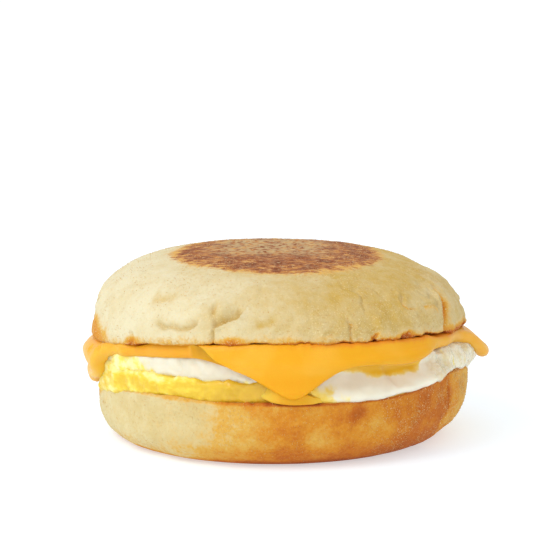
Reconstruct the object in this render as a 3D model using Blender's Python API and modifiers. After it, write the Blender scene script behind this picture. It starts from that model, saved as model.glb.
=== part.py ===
"""Breakfast sandwich: a split English muffin holding a cooked egg and a melted slice of cheese.

Run it with: blender --background --python part.py, or from Blender's text editor.
Metres, +Z up. The origin is at the base, under the middle of the muffin. The front faces -Y.
Azimuths are measured about +Z from +X, so the front is at -90 degrees and the left side at 180.

Every piece starts as a turned blank or a grid. Its vertices are then set on the surfaces below,
which are stacked from the heel's torn face upwards, with a hair of air between neighbours.
"""

import math

import bmesh
import bpy
from mathutils import Vector, noise

MM = 0.001

# The whole muffin
MUFFIN_RADIUS = 48.3 * MM
SANDWICH_HEIGHT = 48.0 * MM
AIR_GAP = 0.35 * MM
# The muffin is out of round by waves of two and of three to the turn
OUT_OF_ROUND = (0.35 * MM, 0.3 * MM)

# Heel, the lower half: its torn face slopes up towards the right and the front
HEEL_FACE_HEIGHT = 16.0 * MM
HEEL_FACE_RISE_RIGHT = 2.2 * MM
HEEL_FACE_RISE_FRONT = 1.5 * MM
HEEL_WIDEST_HEIGHT = 11.0 * MM
HEEL_WIDEST_RISE_RIGHT = 1.5 * MM
HEEL_RIM_TUCK = 0.3 * MM
HEEL_EDGE_POWER = 2.0
HEEL_EDGE_POWER_LEFT = 0.2
HEEL_SHORT_LEFT = 0.9 * MM
FOOT_RADIUS = 38.0 * MM
FOOT_CENTRE_X = -1.5 * MM
# Azimuth in degrees, height and half width in degrees of each wave along the heel's rim
HEEL_RIM_WAVES = (
    (-140, 1.3 * MM, 26),
    (180, -1.6 * MM, 16),
    (-62, -1.3 * MM, 24),
    (-25, 1.5 * MM, 13),
    (60, 0.8 * MM, 30),
    (130, -0.7 * MM, 25),
)
# Height, width, share of the width upright and offset of each layer of lumps in the heel's crust
HEEL_LUMPS = (
    (0.5 * MM, 14 * MM, 1.0, 20.0),
    (0.25 * MM, 5 * MM, 0.5, 21.0),
)
# Depth, width and offset of each layer of hollows in the heel's torn face
HEEL_NOOKS = ((0.7 * MM, 5 * MM, 12.0), (0.4 * MM, 11 * MM, 3.0))
HEEL_RIM_ROUND = 0.5 * MM
HEEL_SMOOTH_FOOT = 3 * MM

# Crown, the upper half: a dome over a torn face that rises towards the front
CROWN_FACE_HEIGHT = 26.4 * MM
CROWN_FACE_RISE_RIGHT = 1.5 * MM
CROWN_FACE_RISE_FRONT = 5.3 * MM
CROWN_FACE_DROP_BACK = 1.4 * MM
CROWN_WIDEST_HEIGHT = 26.0 * MM
CROWN_WALL_FOOT = 2.0 * MM
CROWN_DOME_POWER = 3.0
CROWN_DOME_POWER_LEFT = 0.28
CROWN_RIM_TUCK = 0.7 * MM
CROWN_SHORT_RIGHT = 0.8 * MM
CROWN_LIP = 1.4 * MM
CROWN_LIP_AZIMUTH = -170
CROWN_LIP_HALF_WIDTH = 17
# Each crease runs between two places on the crown's side, given as azimuth in degrees and height.
CROWN_CREASES = (
    ((-130, 34.0), (-117, 34.2), 1.0 * MM),
    ((-117, 34.2), (-114, 37.0), 1.1 * MM),
    ((-112, 34.5), (-102, 39.0), 1.5 * MM),
    ((-112, 31.0), (-111, 34.0), 0.8 * MM),
    ((-71, 33.0), (-69, 38.0), 1.0 * MM),
    ((-62, 32.0), (-59, 34.5), 0.9 * MM),
    ((-52, 31.0), (-50, 34.0), 0.9 * MM),
    ((-52, 39.0), (-49, 43.5), 0.9 * MM),
    ((-33, 33.5), (-30, 40.0), 1.4 * MM),
    ((20, 29.0), (26, 34.5), 1.0 * MM),
    ((58, 31.0), (72, 33.0), 1.1 * MM),
    ((118, 30.0), (124, 36.0), 1.1 * MM),
    ((150, 27.5), (163, 30.0), 1.0 * MM),
)
CREASE_HALF_WIDTH = 2.0 * MM
CREASE_STRENGTH = 1.3
# How far over the wall's top the dome starts to bend into the wall, and over what height it does
CROWN_WALL_BLEND = (5 * MM, 9 * MM)
CROWN_LIP_BLEND = (7 * MM, 8 * MM)
CROWN_LUMPS = ((0.7 * MM, 15 * MM, 1.0, 0.0), (0.4 * MM, 7 * MM, 1.0, 9.0))
CROWN_TOP_LUMPS = ((0.25 * MM, 11 * MM, 1.0, 4.0),)
CROWN_NOOKS = ((0.9 * MM, 5 * MM, 2.0), (0.5 * MM, 11 * MM, 7.0))
CROWN_RIM_NOOKS = ((0.9 * MM, 6 * MM, 5.0), (0.35 * MM, 2.6 * MM, 0.0))

# Cheese: a square slice, one corner of which hangs down the front
CHEESE_SIDE = 87.0 * MM
CHEESE_CENTRE = (-1.2 * MM, 0.4 * MM)
CHEESE_THICKNESS = 2.8 * MM
CHEESE_TURN_DEG = 5.0
# How far each side has slumped outwards, as a share of half its length: (most, where along it, spread)
CHEESE_SLUMP_FRONT_RIGHT = (0.20, -0.15, 0.385)
CHEESE_SLUMP_FRONT_LEFT = (0.08, -0.20, 0.50)
CHEESE_SLUMP_BACK_RIGHT = (0.06, 0.05, 0.60)
CHEESE_SLUMP_BACK_LEFT = (0.05, 0.10, 0.60)
CHEESE_CORNER_POWER = 7.0
CHEESE_EDGE_ROUND = 0.8 * MM
CHEESE_COLUMNS = 26
CHEESE_GRID_CROWDING = 0.93
CHEESE_BEVEL_ANGLE_DEG = 55
# For each corner: azimuth, how far it turns down, where the turn starts and the radius of the turn
CHEESE_CORNERS = (
    (-85, 84, 44.6 * MM, 4.2 * MM),
    (5, 50, 44.8 * MM, 7.0 * MM),
    (95, 58, 44.5 * MM, 5.0 * MM),
    (185, 96, 47.5 * MM, 3.1 * MM),
)

# Egg: the white over a broken yolk, which shows at the left and along the front
EGG_RADIUS = 46.6 * MM
EGG_EDGE_SHARE = 0.05
EGG_RIGHT_REACH = 4.6 * MM
EGG_RIGHT_AZIMUTH = -6
EGG_RIGHT_HALF_WIDTH = 24
EGG_FLARE = 2.6 * MM
EGG_FLARE_AZIMUTH = -48
EGG_FLARE_HALF_WIDTH = 34
EGG_SHOULDER_SLACK = 0.3 * MM
WHITE_THINNEST = 2.6 * MM
EGG_RAGGEDNESS = 0.7 * MM
# Height, waves to the turn and phase in radians of each wave in the white's frill
WHITE_FRILL_WAVES = ((0.5 * MM, 9, 0), (0.3 * MM, 17, 1))
WHITE_UNEVENNESS = 0.2 * MM
WHITE_SHORT_LEFT = 0.9 * MM
WHITE_SHORT_AZIMUTH = -140
WHITE_SHORT_HALF_WIDTH = 40
WHITE_LEAST_THICKNESS = 1.0 * MM
YOLK_OVERHANG = 0.5 * MM
YOLK_THICKNESS = 4.3 * MM
YOLK_LEFT_RISE = 2.4 * MM
YOLK_LEFT_X = -37.0 * MM
YOLK_LEFT_RUN = 9 * MM
YOLK_TAPER = 18.0 * MM
YOLK_FADE = 4 * MM
YOLK_RIPPLE = 0.15 * MM
YOLK_LEAST_THICKNESS = 0.5 * MM
YOLK_EDGE_THICKNESS = 0.9 * MM
YOLK_MIDDLE_SLACK = 0.4 * MM
YOLK_CENTRE = (-19.0 * MM, -5.0 * MM)
# The yolk ends along the chord between these two azimuths
YOLK_END_FRONT = -70
YOLK_END_BACK = 118
# How sharply the chord meets the round edge
YOLK_CORNER_POWER = 8

SIDES = {"crown": 104, "heel": 92, "white": 92, "yolk": 64}

# Colour and roughness of each piece
FINISHES = {
    "muffin_crown": ((0.80, 0.68, 0.42), 0.85),
    "cheese_slice": ((0.93, 0.47, 0.05), 0.38),
    "egg_white": ((0.88, 0.85, 0.74), 0.35),
    "egg_yolk": ((0.93, 0.70, 0.08), 0.50),
    "muffin_heel": ((0.75, 0.52, 0.25), 0.85),
}


def clamp(value, low=0.0, high=1.0):
    """Holds a value between two limits."""
    return max(low, min(high, value))


def blend(start, end, share):
    """The value this share of the way from one to another."""
    return start + (end - start) * share


def ease(share):
    """Runs from 0 to 1 with level ends."""
    share = clamp(share)
    return share * share * (3 - 2 * share)


def turn_between(first, second):
    """The angle in degrees from one azimuth to another, from -180 to 180."""
    return (first - second + 180) % 360 - 180


def swell(azimuth, centre, half_width):
    """A smooth hump around one azimuth: 1 at its centre, falling off either side."""
    return math.exp(-((turn_between(azimuth, centre) / half_width) ** 2))


def azimuth_of(x, y):
    """The azimuth of a point in degrees."""
    return math.degrees(math.atan2(y, x))


def on_circle(radius, azimuth):
    """The x and y of the point at this radius and azimuth."""
    a = math.radians(azimuth)
    return radius * math.cos(a), radius * math.sin(a)


def lumps(x, y, z, size, offset=0.0):
    """Even, smooth lumps of about this size, from -1 to 1."""
    return noise.noise(Vector((x / size + offset, y / size, z / size)))


def crust_lumps(x, y, z, layers):
    """How far the crust stands out at a point, from its layers of lumps."""
    return sum(height * lumps(x, y, z * upright, size, offset) for height, size, upright, offset in layers)


def hollows(x, y, layers):
    """How deep the torn crumb is hollowed over a point, from its layers of nooks."""
    return sum(depth * abs(lumps(x, y, 0.0, size, offset)) for depth, size, offset in layers)


def muffin_radius(azimuth):
    """The muffin is a little out of round."""
    a = math.radians(azimuth)
    two, three = OUT_OF_ROUND
    return MUFFIN_RADIUS + two * math.cos(2 * a + 0.5) + three * math.cos(3 * a - 1.0)


def heel_face(x, y):
    """Height of the heel's torn face, on which the egg rests."""
    share = math.hypot(x, y) / MUFFIN_RADIUS
    slope = HEEL_FACE_RISE_RIGHT * x - HEEL_FACE_RISE_FRONT * y
    azimuth = azimuth_of(x, y)
    waves = sum(height * swell(azimuth, at, width) for at, height, width in HEEL_RIM_WAVES)
    return HEEL_FACE_HEIGHT + slope / MUFFIN_RADIUS + waves * ease(share)


def crown_face(x, y):
    """Lowest height of the crown's torn face, which lies on the cheese."""
    front = -y / MUFFIN_RADIUS
    even = (CROWN_FACE_RISE_FRONT + CROWN_FACE_DROP_BACK) / 2
    bend = (CROWN_FACE_RISE_FRONT - CROWN_FACE_DROP_BACK) / 2
    rise = even * front + bend * math.sqrt(front * front + 0.03)
    return CROWN_FACE_HEIGHT + CROWN_FACE_RISE_RIGHT * x / MUFFIN_RADIUS + rise


def cheese_turn(azimuth):
    """(angle in radians, start radius, turn radius) of the slice's bend at this azimuth."""
    shares = [max(0.0, math.cos(math.radians(turn_between(azimuth, c[0])))) ** 2 for c in CHEESE_CORNERS]
    total = sum(shares)
    angle, start, radius = (
        sum(share * corner[i] for share, corner in zip(shares, CHEESE_CORNERS)) / total
        for i in (1, 2, 3)
    )
    return math.radians(angle), start, radius


def cheese_middle(x, y):
    """Height of the slice's middle layer where it lies flat."""
    return crown_face(x, y) - AIR_GAP - CHEESE_THICKNESS / 2


def cheese_underside(x, y):
    """Height of the slice's lower face over a point, also where it has begun to turn down."""
    azimuth = azimuth_of(x, y)
    angle, start, radius = cheese_turn(azimuth)
    reach = math.hypot(x, y)
    if reach <= start:
        return cheese_middle(x, y) - CHEESE_THICKNESS / 2
    a = math.radians(azimuth)
    top = cheese_middle(start * math.cos(a), start * math.sin(a))
    inner = radius - CHEESE_THICKNESS / 2
    straight_from = inner * math.sin(angle)
    past = reach - start
    if past < straight_from:
        return top - radius + math.sqrt(inner * inner - past * past)
    return top - radius + inner * math.cos(angle) - (past - straight_from) * math.tan(angle)


def yolk_chord():
    """The front end of the chord along which the yolk ends, and the chord's direction."""
    front, back = (Vector(on_circle(EGG_RADIUS, azimuth)) for azimuth in (YOLK_END_FRONT, YOLK_END_BACK))
    return front, (back - front).normalized()


def yolk_thickness(x, y):
    """Thickness of the yolk layer. It thins to nothing past the chord that ends it."""
    front, along = yolk_chord()
    inside = along.x * (y - front.y) - along.y * (x - front.x)
    body = blend(YOLK_EDGE_THICKNESS, YOLK_THICKNESS, ease(inside / YOLK_TAPER))
    fade = ease(1 + inside / YOLK_FADE)
    rise = YOLK_LEFT_RISE * ease((YOLK_LEFT_X - x) / YOLK_LEFT_RUN)
    room = cheese_underside(x, y) - heel_face(x, y) - WHITE_THINNEST
    return min(body + rise, room) * fade


def yolk_reach(direction):
    """Distance from the yolk's own centre to its edge, along a direction in radians."""
    centre = Vector(YOLK_CENTRE)
    d = Vector((math.cos(direction), math.sin(direction)))
    rim = EGG_RADIUS + YOLK_OVERHANG
    dot = centre.dot(d)
    to_rim = -dot + math.sqrt(dot * dot - centre.length_squared + rim * rim)
    front, along = yolk_chord()
    outward = Vector((along.y, -along.x))
    facing = outward.dot(d)
    if facing <= 0.02:
        return to_rim
    to_chord = outward.dot(front - centre) / facing
    power = YOLK_CORNER_POWER
    return (to_rim**-power + to_chord**-power) ** (-1 / power)


def turned_blank(name, profile, sides):
    """Turns a profile of (share of radius, height) points, from the top centre down, into a closed mesh."""
    mesh = bpy.data.meshes.new(name + "_profile")
    edges = [(i, i + 1) for i in range(len(profile) - 1)]
    mesh.from_pydata([(share, 0, height) for share, height in profile], edges, [])
    guide = bpy.data.objects.new(name + "_profile", mesh)
    bpy.context.scene.collection.objects.link(guide)
    screw = guide.modifiers.new("Turn", "SCREW")
    screw.steps = screw.render_steps = sides
    screw.use_merge_vertices = True
    screw.merge_threshold = 0.0001
    screw.use_smooth_shade = True
    graph = bpy.context.evaluated_depsgraph_get()
    turned = bpy.data.meshes.new_from_object(guide.evaluated_get(graph))
    bpy.data.objects.remove(guide)
    bpy.data.meshes.remove(mesh)
    turned.name = name
    return turned


def place_vertices(mesh, place):
    """Moves each vertex of a turned blank to where place(share, azimuth in degrees, height) says."""
    for vertex in mesh.vertices:
        share = math.hypot(vertex.co.x, vertex.co.y)
        azimuth = azimuth_of(vertex.co.x, vertex.co.y) if share > 1e-6 else 0.0
        vertex.co = place(share, azimuth, vertex.co.z)


def rounded_edge(share, points, power):
    """Profile points round a blank's edge, from just under its top face to just over its lower one."""
    angles = [math.pi / 2 * (1 - 2 * i / (points - 1)) for i in range(points)]
    return [
        (1 - share + share * math.cos(a) ** power, math.copysign(abs(math.sin(a)) ** power, a))
        for a in angles
    ]


def crease_depth(x, y, z):
    """How deep the creases cut the crown's side at a point."""
    depth = 0.0
    azimuth = azimuth_of(x, y)
    for start, end, deepest in CROWN_CREASES:
        across = math.radians(turn_between(end[0], start[0])) * MUFFIN_RADIUS
        path = Vector((across, (end[1] - start[1]) * MM))
        here = Vector((math.radians(turn_between(azimuth, start[0])) * MUFFIN_RADIUS, z - start[1] * MM))
        share = clamp(here.dot(path) / path.length_squared)
        away = (here - path * share).length
        depth = max(depth, deepest * math.exp(-((away / CREASE_HALF_WIDTH) ** 2)))
    return depth


def crown_place(share, azimuth, height):
    """The crown's blank: height 1 to 0 is the dome, 0 to -1 the wall, and -1 the torn face."""
    radius = muffin_radius(azimuth) - CROWN_SHORT_RIGHT * swell(azimuth, 0, 45)
    rim_x, rim_y = on_circle(radius, azimuth)
    widest = min(CROWN_WIDEST_HEIGHT, crown_face(rim_x, rim_y))
    wall_top = crown_face(rim_x, rim_y) + CROWN_WALL_FOOT
    if height >= 0:
        power = CROWN_DOME_POWER - CROWN_DOME_POWER_LEFT * math.cos(math.radians(azimuth))
        dome = SANDWICH_HEIGHT - widest
        z = widest + dome * (1 - clamp(share) ** power) ** (1 / power)
        # The dome's lower end meets the wall, which starts higher at the front
        starts, runs = CROWN_WALL_BLEND
        squeeze = ease((wall_top + starts - z) / runs)
        z = blend(z, max(z, wall_top), squeeze)
        x, y = on_circle(radius * share, azimuth)
        outward = Vector((x, y, 0)).normalized() if share > 0.02 else Vector((0, 0, 0))
        side = ease((share - 0.6) / 0.3)
        relief = crust_lumps(x, y, z, CROWN_LUMPS)
        lip = CROWN_LIP * swell(azimuth, CROWN_LIP_AZIMUTH, CROWN_LIP_HALF_WIDTH)
        starts, runs = CROWN_LIP_BLEND
        low = ease((wall_top + starts - z) / runs)
        push = (relief - CREASE_STRENGTH * crease_depth(x, y, z) + lip * low) * side
        crust = crust_lumps(x, y, z, CROWN_TOP_LUMPS) * (1 - side)
        return Vector((x, y, z + crust)) + outward * push
    if share < 0.985:
        x, y = on_circle(radius * share, azimuth)
        return Vector((x, y, crown_face(x, y) + hollows(x, y, CROWN_NOOKS)))
    down = -height
    torn = hollows(rim_x, rim_y, CROWN_RIM_NOOKS)
    z = blend(wall_top, crown_face(rim_x, rim_y) + torn, down)
    relief = crust_lumps(rim_x, rim_y, z, CROWN_LUMPS)
    lip = CROWN_LIP * swell(azimuth, CROWN_LIP_AZIMUTH, CROWN_LIP_HALF_WIDTH)
    x, y = on_circle(radius * share - CROWN_RIM_TUCK * down**2 + relief + lip, azimuth)
    depth = CREASE_STRENGTH * crease_depth(x, y, z)
    inward = 1 - depth / math.hypot(x, y)
    return Vector((x * inward, y * inward, z))


def heel_place(share, azimuth, height):
    """The heel's blank: height 1 is the torn face, 1 to 0 the wall, 0 to -1 the lower edge, -1 the foot."""
    radius = muffin_radius(azimuth) - HEEL_SHORT_LEFT * swell(azimuth, 180, 60)
    widest = HEEL_WIDEST_HEIGHT + HEEL_WIDEST_RISE_RIGHT * math.cos(math.radians(azimuth))
    power = HEEL_EDGE_POWER - HEEL_EDGE_POWER_LEFT * math.cos(math.radians(azimuth))
    foot_share = FOOT_RADIUS / MUFFIN_RADIUS
    if height <= -1 + 1e-6:
        x, y = on_circle(FOOT_RADIUS * min(1.0, share / foot_share), azimuth)
        return Vector((x + FOOT_CENTRE_X, y, 0))
    if height >= 1 - 1e-6:
        x, y = on_circle((radius - HEEL_RIM_TUCK) * share, azimuth)
        return Vector((x, y, heel_face(x, y) - hollows(x, y, HEEL_NOOKS)))
    if height >= 0:
        x, y = on_circle(radius, azimuth)
        z = blend(widest, heel_face(x, y) - HEEL_RIM_ROUND, height)
        x, y = on_circle(radius - HEEL_RIM_TUCK * height**2, azimuth)
        side = 1.0
    else:
        turn = -height * math.pi / 2
        out = math.cos(turn) ** (2 / power)
        z = widest * (1 - math.sin(turn) ** (2 / power))
        foot_x, foot_y = on_circle(FOOT_RADIUS, azimuth)
        wide_x, wide_y = on_circle(radius, azimuth)
        x, y = blend(foot_x + FOOT_CENTRE_X, wide_x, out), blend(foot_y, wide_y, out)
        side = ease(z / HEEL_SMOOTH_FOOT)
    outward = Vector((x, y, 0)).normalized()
    return Vector((x, y, z)) + outward * crust_lumps(x, y, z, HEEL_LUMPS) * side


def white_radius(azimuth):
    """The white reaches past the muffin at the right, where its edge is frilly."""
    frill = swell(azimuth, EGG_RIGHT_AZIMUTH, EGG_RIGHT_HALF_WIDTH)
    a = math.radians(azimuth)
    wave = sum(height * math.sin(count * a + phase) for height, count, phase in WHITE_FRILL_WAVES)
    uneven = WHITE_UNEVENNESS * math.cos(3 * a + 2)
    left = WHITE_SHORT_LEFT * swell(azimuth, WHITE_SHORT_AZIMUTH, WHITE_SHORT_HALF_WIDTH)
    return EGG_RADIUS + (EGG_RIGHT_REACH + wave) * frill + uneven - left


def white_bottom(x, y):
    """The white lies on the yolk, and on the heel where there is no yolk."""
    layer = yolk_thickness(x, y)
    return heel_face(x, y) + AIR_GAP + layer + AIR_GAP * ease(layer / (0.5 * MM))


def white_place(share, azimuth, height):
    """The white's blank: height 1 is its top, -1 its underside. The cheese presses its top edge down."""
    radius = white_radius(azimuth) * share
    x, y = on_circle(radius, azimuth)
    low = white_bottom(x, y)
    slack = EGG_SHOULDER_SLACK * ease((share - 0.7) / 0.15)
    high = max(cheese_underside(x, y) - AIR_GAP - slack, low + WHITE_LEAST_THICKNESS)
    z = blend(low, high, (height + 1) / 2)
    flare = EGG_FLARE * swell(azimuth, EGG_FLARE_AZIMUTH, EGG_FLARE_HALF_WIDTH)
    lower = ease((0.3 - height) / 1.1) * ease((share - 0.86) / 0.12)
    edge = ease((share - 0.86) / 0.12)
    ragged = EGG_RAGGEDNESS * lumps(x, y, z, 5 * MM, 40.0) * edge
    x, y = on_circle(radius + flare * (lower - edge) * 0.9 + ragged, azimuth)
    return Vector((x, y, z))


def yolk_place(share, azimuth, height):
    """The yolk's blank is spread from its own centre out to its edge."""
    direction = math.radians(azimuth)
    edge = ease((share - 0.86) / 0.12)
    reach = yolk_reach(direction) * share
    # Measured on a circle of radius 1, so that the raggedness runs round without a seam
    ragged = lumps(math.cos(direction), math.sin(direction), height * 0.15, 0.11, 50.0)
    reach += EGG_RAGGEDNESS * edge * ragged
    x = YOLK_CENTRE[0] + reach * math.cos(direction)
    y = YOLK_CENTRE[1] + reach * math.sin(direction)
    low = heel_face(x, y) + AIR_GAP
    ripple = YOLK_RIPPLE * (1 + lumps(x, y, 0.0, 4 * MM, 30.0))
    slack = YOLK_MIDDLE_SLACK * (1 - ease((share - 0.7) / 0.2))
    high = low + max(YOLK_LEAST_THICKNESS, yolk_thickness(x, y) - ripple - slack)
    return Vector((x, y, blend(low, high, (height + 1) / 2)))


def slump(along, shape):
    """How far a side of the slice has moved outwards at a place from -1 to 1 along it."""
    most, centre, spread = shape
    return most * math.exp(-(((along - centre) / spread) ** 2)) * (1 - along**4)


def cheese_point(u, v):
    """Where a point of the flat slice ends up. u and v run from -1 to 1 along its sides."""
    half = CHEESE_SIDE / 2
    power = CHEESE_CORNER_POWER
    away = max(abs(u), abs(v))
    if away > 1e-6:
        # The corners are slightly rounded
        softer = away / (abs(u) ** (2 * power) + abs(v) ** (2 * power)) ** (1 / (2 * power))
        u, v = u * softer, v * softer
    side_u = half * u * (1 + slump(v, CHEESE_SLUMP_FRONT_LEFT if u < 0 else CHEESE_SLUMP_BACK_RIGHT))
    side_v = half * v * (1 + slump(u, CHEESE_SLUMP_FRONT_RIGHT if v < 0 else CHEESE_SLUMP_BACK_LEFT))
    turn = math.radians(45 + CHEESE_TURN_DEG)
    x = side_u * math.cos(turn) - side_v * math.sin(turn) + CHEESE_CENTRE[0]
    y = side_u * math.sin(turn) + side_v * math.cos(turn) + CHEESE_CENTRE[1]
    azimuth = azimuth_of(x, y)
    angle, start, radius = cheese_turn(azimuth)
    reach = math.hypot(x, y)
    if reach <= start:
        return Vector((x, y, cheese_middle(x, y)))
    past = reach - start
    bent = min(past / radius, angle)
    straight = max(0.0, past - radius * angle)
    out = start + radius * math.sin(bent) + straight * math.cos(angle)
    start_x, start_y = on_circle(start, azimuth)
    fall = radius * (1 - math.cos(bent)) + straight * math.sin(angle)
    x, y = on_circle(out, azimuth)
    return Vector((x, y, cheese_middle(start_x, start_y) - fall))


def crown_profile():
    """From the top's centre over the dome, down the wall and in along the torn face."""
    shares = (0, 0.25, 0.48, 0.64, 0.75, 0.83, 0.89, 0.935, 0.968, 0.988)
    dome = [(share, (1 - share**3) ** (1 / 3)) for share in shares]
    wall = [(1.0, 0.0), (1.0, -0.35), (1.0, -0.7), (1.0, -1.0)]
    face = [(share, -1.0) for share in (0.95, 0.85, 0.68, 0.45, 0.2, 0)]
    return dome + wall + face


def heel_profile():
    """From the torn face's centre down the wall, round the lower edge and in along the foot."""
    foot_share = FOOT_RADIUS / MUFFIN_RADIUS
    face = [(share, 1.0) for share in (0, 0.35, 0.65, 0.85, 0.96)]
    wall = [(1.0, height) for height in (0.97, 0.65, 0.3, 0.0)]
    edge = [(1.0 - 0.001 * i, -i / 6) for i in range(1, 6)]
    foot = [(foot_share, -1.0), (foot_share * 0.5, -1.0), (0, -1.0)]
    return face + wall + edge + foot


def patty_profile(inner, outer):
    """A flat layer with a rounded edge: shares along its faces, and how many points the edge has."""
    top = [(share, 1.0) for share in inner]
    edge = rounded_edge(EGG_EDGE_SHARE, outer, 0.75)
    bottom = [(share, -1.0) for share in reversed(inner)]
    return top + edge + bottom


def finish_of(name):
    """A plain Principled BSDF in the piece's colour."""
    colour, roughness = FINISHES[name]
    material = bpy.data.materials.new(name)
    material.use_nodes = True
    shader = material.node_tree.nodes["Principled BSDF"]
    shader.inputs["Base Color"].default_value = (*colour, 1)
    shader.inputs["Roughness"].default_value = roughness
    shader.inputs["Metallic"].default_value = 0
    return material


def add_piece(name, mesh, collection):
    """Puts a mesh into the collection as a named piece with its own finish."""
    piece = bpy.data.objects.new(name, mesh)
    mesh.materials.clear()
    mesh.materials.append(finish_of(name))
    collection.objects.link(piece)
    return piece


def build_turned(name, profile, sides, place, collection):
    """Makes a piece from a turned profile whose vertices are then placed."""
    mesh = turned_blank(name, profile, sides)
    place_vertices(mesh, place)
    return add_piece(name, mesh, collection)


def build_cheese(collection):
    """A grid, finer towards its edges, draped over the egg and given its thickness."""
    grid = bmesh.new()
    bmesh.ops.create_grid(grid, x_segments=CHEESE_COLUMNS, y_segments=CHEESE_COLUMNS, size=1.0)
    quarter = math.pi / 2 * CHEESE_GRID_CROWDING
    for vertex in grid.verts:
        u, v = (math.sin(quarter * c) / math.sin(quarter) for c in vertex.co.xy)
        vertex.co = cheese_point(u, v)
    mesh = bpy.data.meshes.new("cheese_slice")
    grid.to_mesh(mesh)
    grid.free()
    mesh.shade_smooth()
    piece = add_piece("cheese_slice", mesh, collection)
    thickness = piece.modifiers.new("Thickness", "SOLIDIFY")
    thickness.thickness = CHEESE_THICKNESS
    thickness.offset = 0
    soft_edge = piece.modifiers.new("Soft edge", "BEVEL")
    soft_edge.width = CHEESE_EDGE_ROUND
    soft_edge.segments = 1
    soft_edge.limit_method = "ANGLE"
    soft_edge.angle_limit = math.radians(CHEESE_BEVEL_ANGLE_DEG)
    return piece


def clear_scene():
    """Removes whatever the scene starts with."""
    for obj in list(bpy.data.objects):
        bpy.data.objects.remove(obj)


def main():
    """Builds the pieces from the heel upwards."""
    clear_scene()
    collection = bpy.data.collections.new("breakfast_sandwich")
    bpy.context.scene.collection.children.link(collection)
    build_turned("muffin_heel", heel_profile(), SIDES["heel"], heel_place, collection)
    yolk = patty_profile((0, 0.4, 0.7, 0.86), 5)
    build_turned("egg_yolk", yolk, SIDES["yolk"], yolk_place, collection)
    white = patty_profile((0, 0.45, 0.75, 0.87), 7)
    build_turned("egg_white", white, SIDES["white"], white_place, collection)
    build_cheese(collection)
    build_turned("muffin_crown", crown_profile(), SIDES["crown"], crown_place, collection)


main()
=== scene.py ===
"""Looks of a breakfast sandwich: a split muffin around a cooked egg and a melted slice of cheese.

Each layer is a class that works its surface out as whole numpy arrays and dresses it. The layers
lie on the shared surfaces of SandwichForm, so they meet as the solids do. Lengths are in metres,
azimuths in degrees about +Z from +X, and the front of the sandwich faces -Y.
"""

import logging
import math
from dataclasses import dataclass, field
from enum import Enum
from itertools import product

import bpy
import numpy as np
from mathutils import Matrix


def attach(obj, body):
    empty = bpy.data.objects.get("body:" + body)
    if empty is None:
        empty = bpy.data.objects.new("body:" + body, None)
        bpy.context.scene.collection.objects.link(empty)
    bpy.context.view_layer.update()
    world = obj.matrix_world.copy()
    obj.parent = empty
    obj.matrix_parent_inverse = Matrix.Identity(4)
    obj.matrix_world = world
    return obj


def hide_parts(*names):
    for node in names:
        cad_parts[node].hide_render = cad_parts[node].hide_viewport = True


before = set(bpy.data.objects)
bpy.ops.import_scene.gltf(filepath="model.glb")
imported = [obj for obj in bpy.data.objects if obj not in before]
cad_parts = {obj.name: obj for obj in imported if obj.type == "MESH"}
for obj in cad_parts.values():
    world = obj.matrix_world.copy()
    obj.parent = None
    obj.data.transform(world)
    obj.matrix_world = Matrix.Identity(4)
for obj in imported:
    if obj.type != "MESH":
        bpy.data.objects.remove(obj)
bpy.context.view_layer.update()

MM = 0.001
BODY = "root"
STUDIO_LIGHT = 1.25

Array = np.ndarray
Colour = tuple[float, float, float]

log = logging.getLogger("breakfast_sandwich")


class Layer(Enum):
    """The layers of the sandwich, by the node that each one replaces."""

    CROWN = "muffin_crown"
    CHEESE = "cheese_slice"
    WHITE = "egg_white"
    YOLK = "egg_yolk"
    HEEL = "muffin_heel"


class Slot(Enum):
    """The record's material slots."""

    CROWN = "crown"
    CHEESE = "cheese"
    WHITE = "egg_white"
    YOLK = "egg_yolk"
    HEEL = "heel"


def seen(red: float, green: float, blue: float) -> Colour:
    """Turn a colour as it looks in the studio into the surface's own colour.

    Each channel c in 0 to 1 becomes ((c + 0.055) / 1.055) ** 2.4, or c / 12.92 below 0.04045,
    and is divided by the studio's light.

    Args:
        red, green, blue: channels from 0 to 255, as a screen shows them.

    Returns:
        The linear colour.
    """
    channels = np.array([red, green, blue]) / 255
    linear = np.where(channels <= 0.04045, channels / 12.92, ((channels + 0.055) / 1.055) ** 2.4)
    return tuple(float(c) for c in linear / STUDIO_LIGHT)


def ease(share: Array) -> Array:
    """Run from 0 to 1 with level ends: 3s^2 - 2s^3, with s held between 0 and 1."""
    held = np.clip(share, 0.0, 1.0)
    return held * held * (3 - 2 * held)


def ramp(value: Array, low: float, high: float) -> Array:
    """Ease from 0 where the value is at low to 1 where it is at high."""
    return ease((value - low) / (high - low))


def turn_between(first: Array, second: float) -> Array:
    """The turn in degrees from the second azimuth to the first, from -180 to 180."""
    return (first - second + 180) % 360 - 180


def swell(azimuth: Array, centre: float, half_width: float) -> Array:
    """A smooth hump round one azimuth: e to the power of minus (turn / half_width) squared."""
    return np.exp(-((turn_between(azimuth, centre) / half_width) ** 2))


def band(azimuth: Array, start: float, end: float, soft: float) -> Array:
    """1 between two azimuths, easing to 0 over soft degrees past each of them."""
    middle = (start + end) / 2
    return 1 - ramp(np.abs(turn_between(azimuth, middle)), (end - start) / 2, (end - start) / 2 + soft)


def azimuth_of(x: Array, y: Array) -> Array:
    """The azimuth in degrees of each point."""
    return np.degrees(np.arctan2(y, x))


def on_circle(radius: Array, azimuth: Array) -> tuple[Array, Array]:
    """The x and y of points on a circle: radius times the azimuth's cosine and sine."""
    angle = np.radians(azimuth)
    return radius * np.cos(angle), radius * np.sin(angle)


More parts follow.
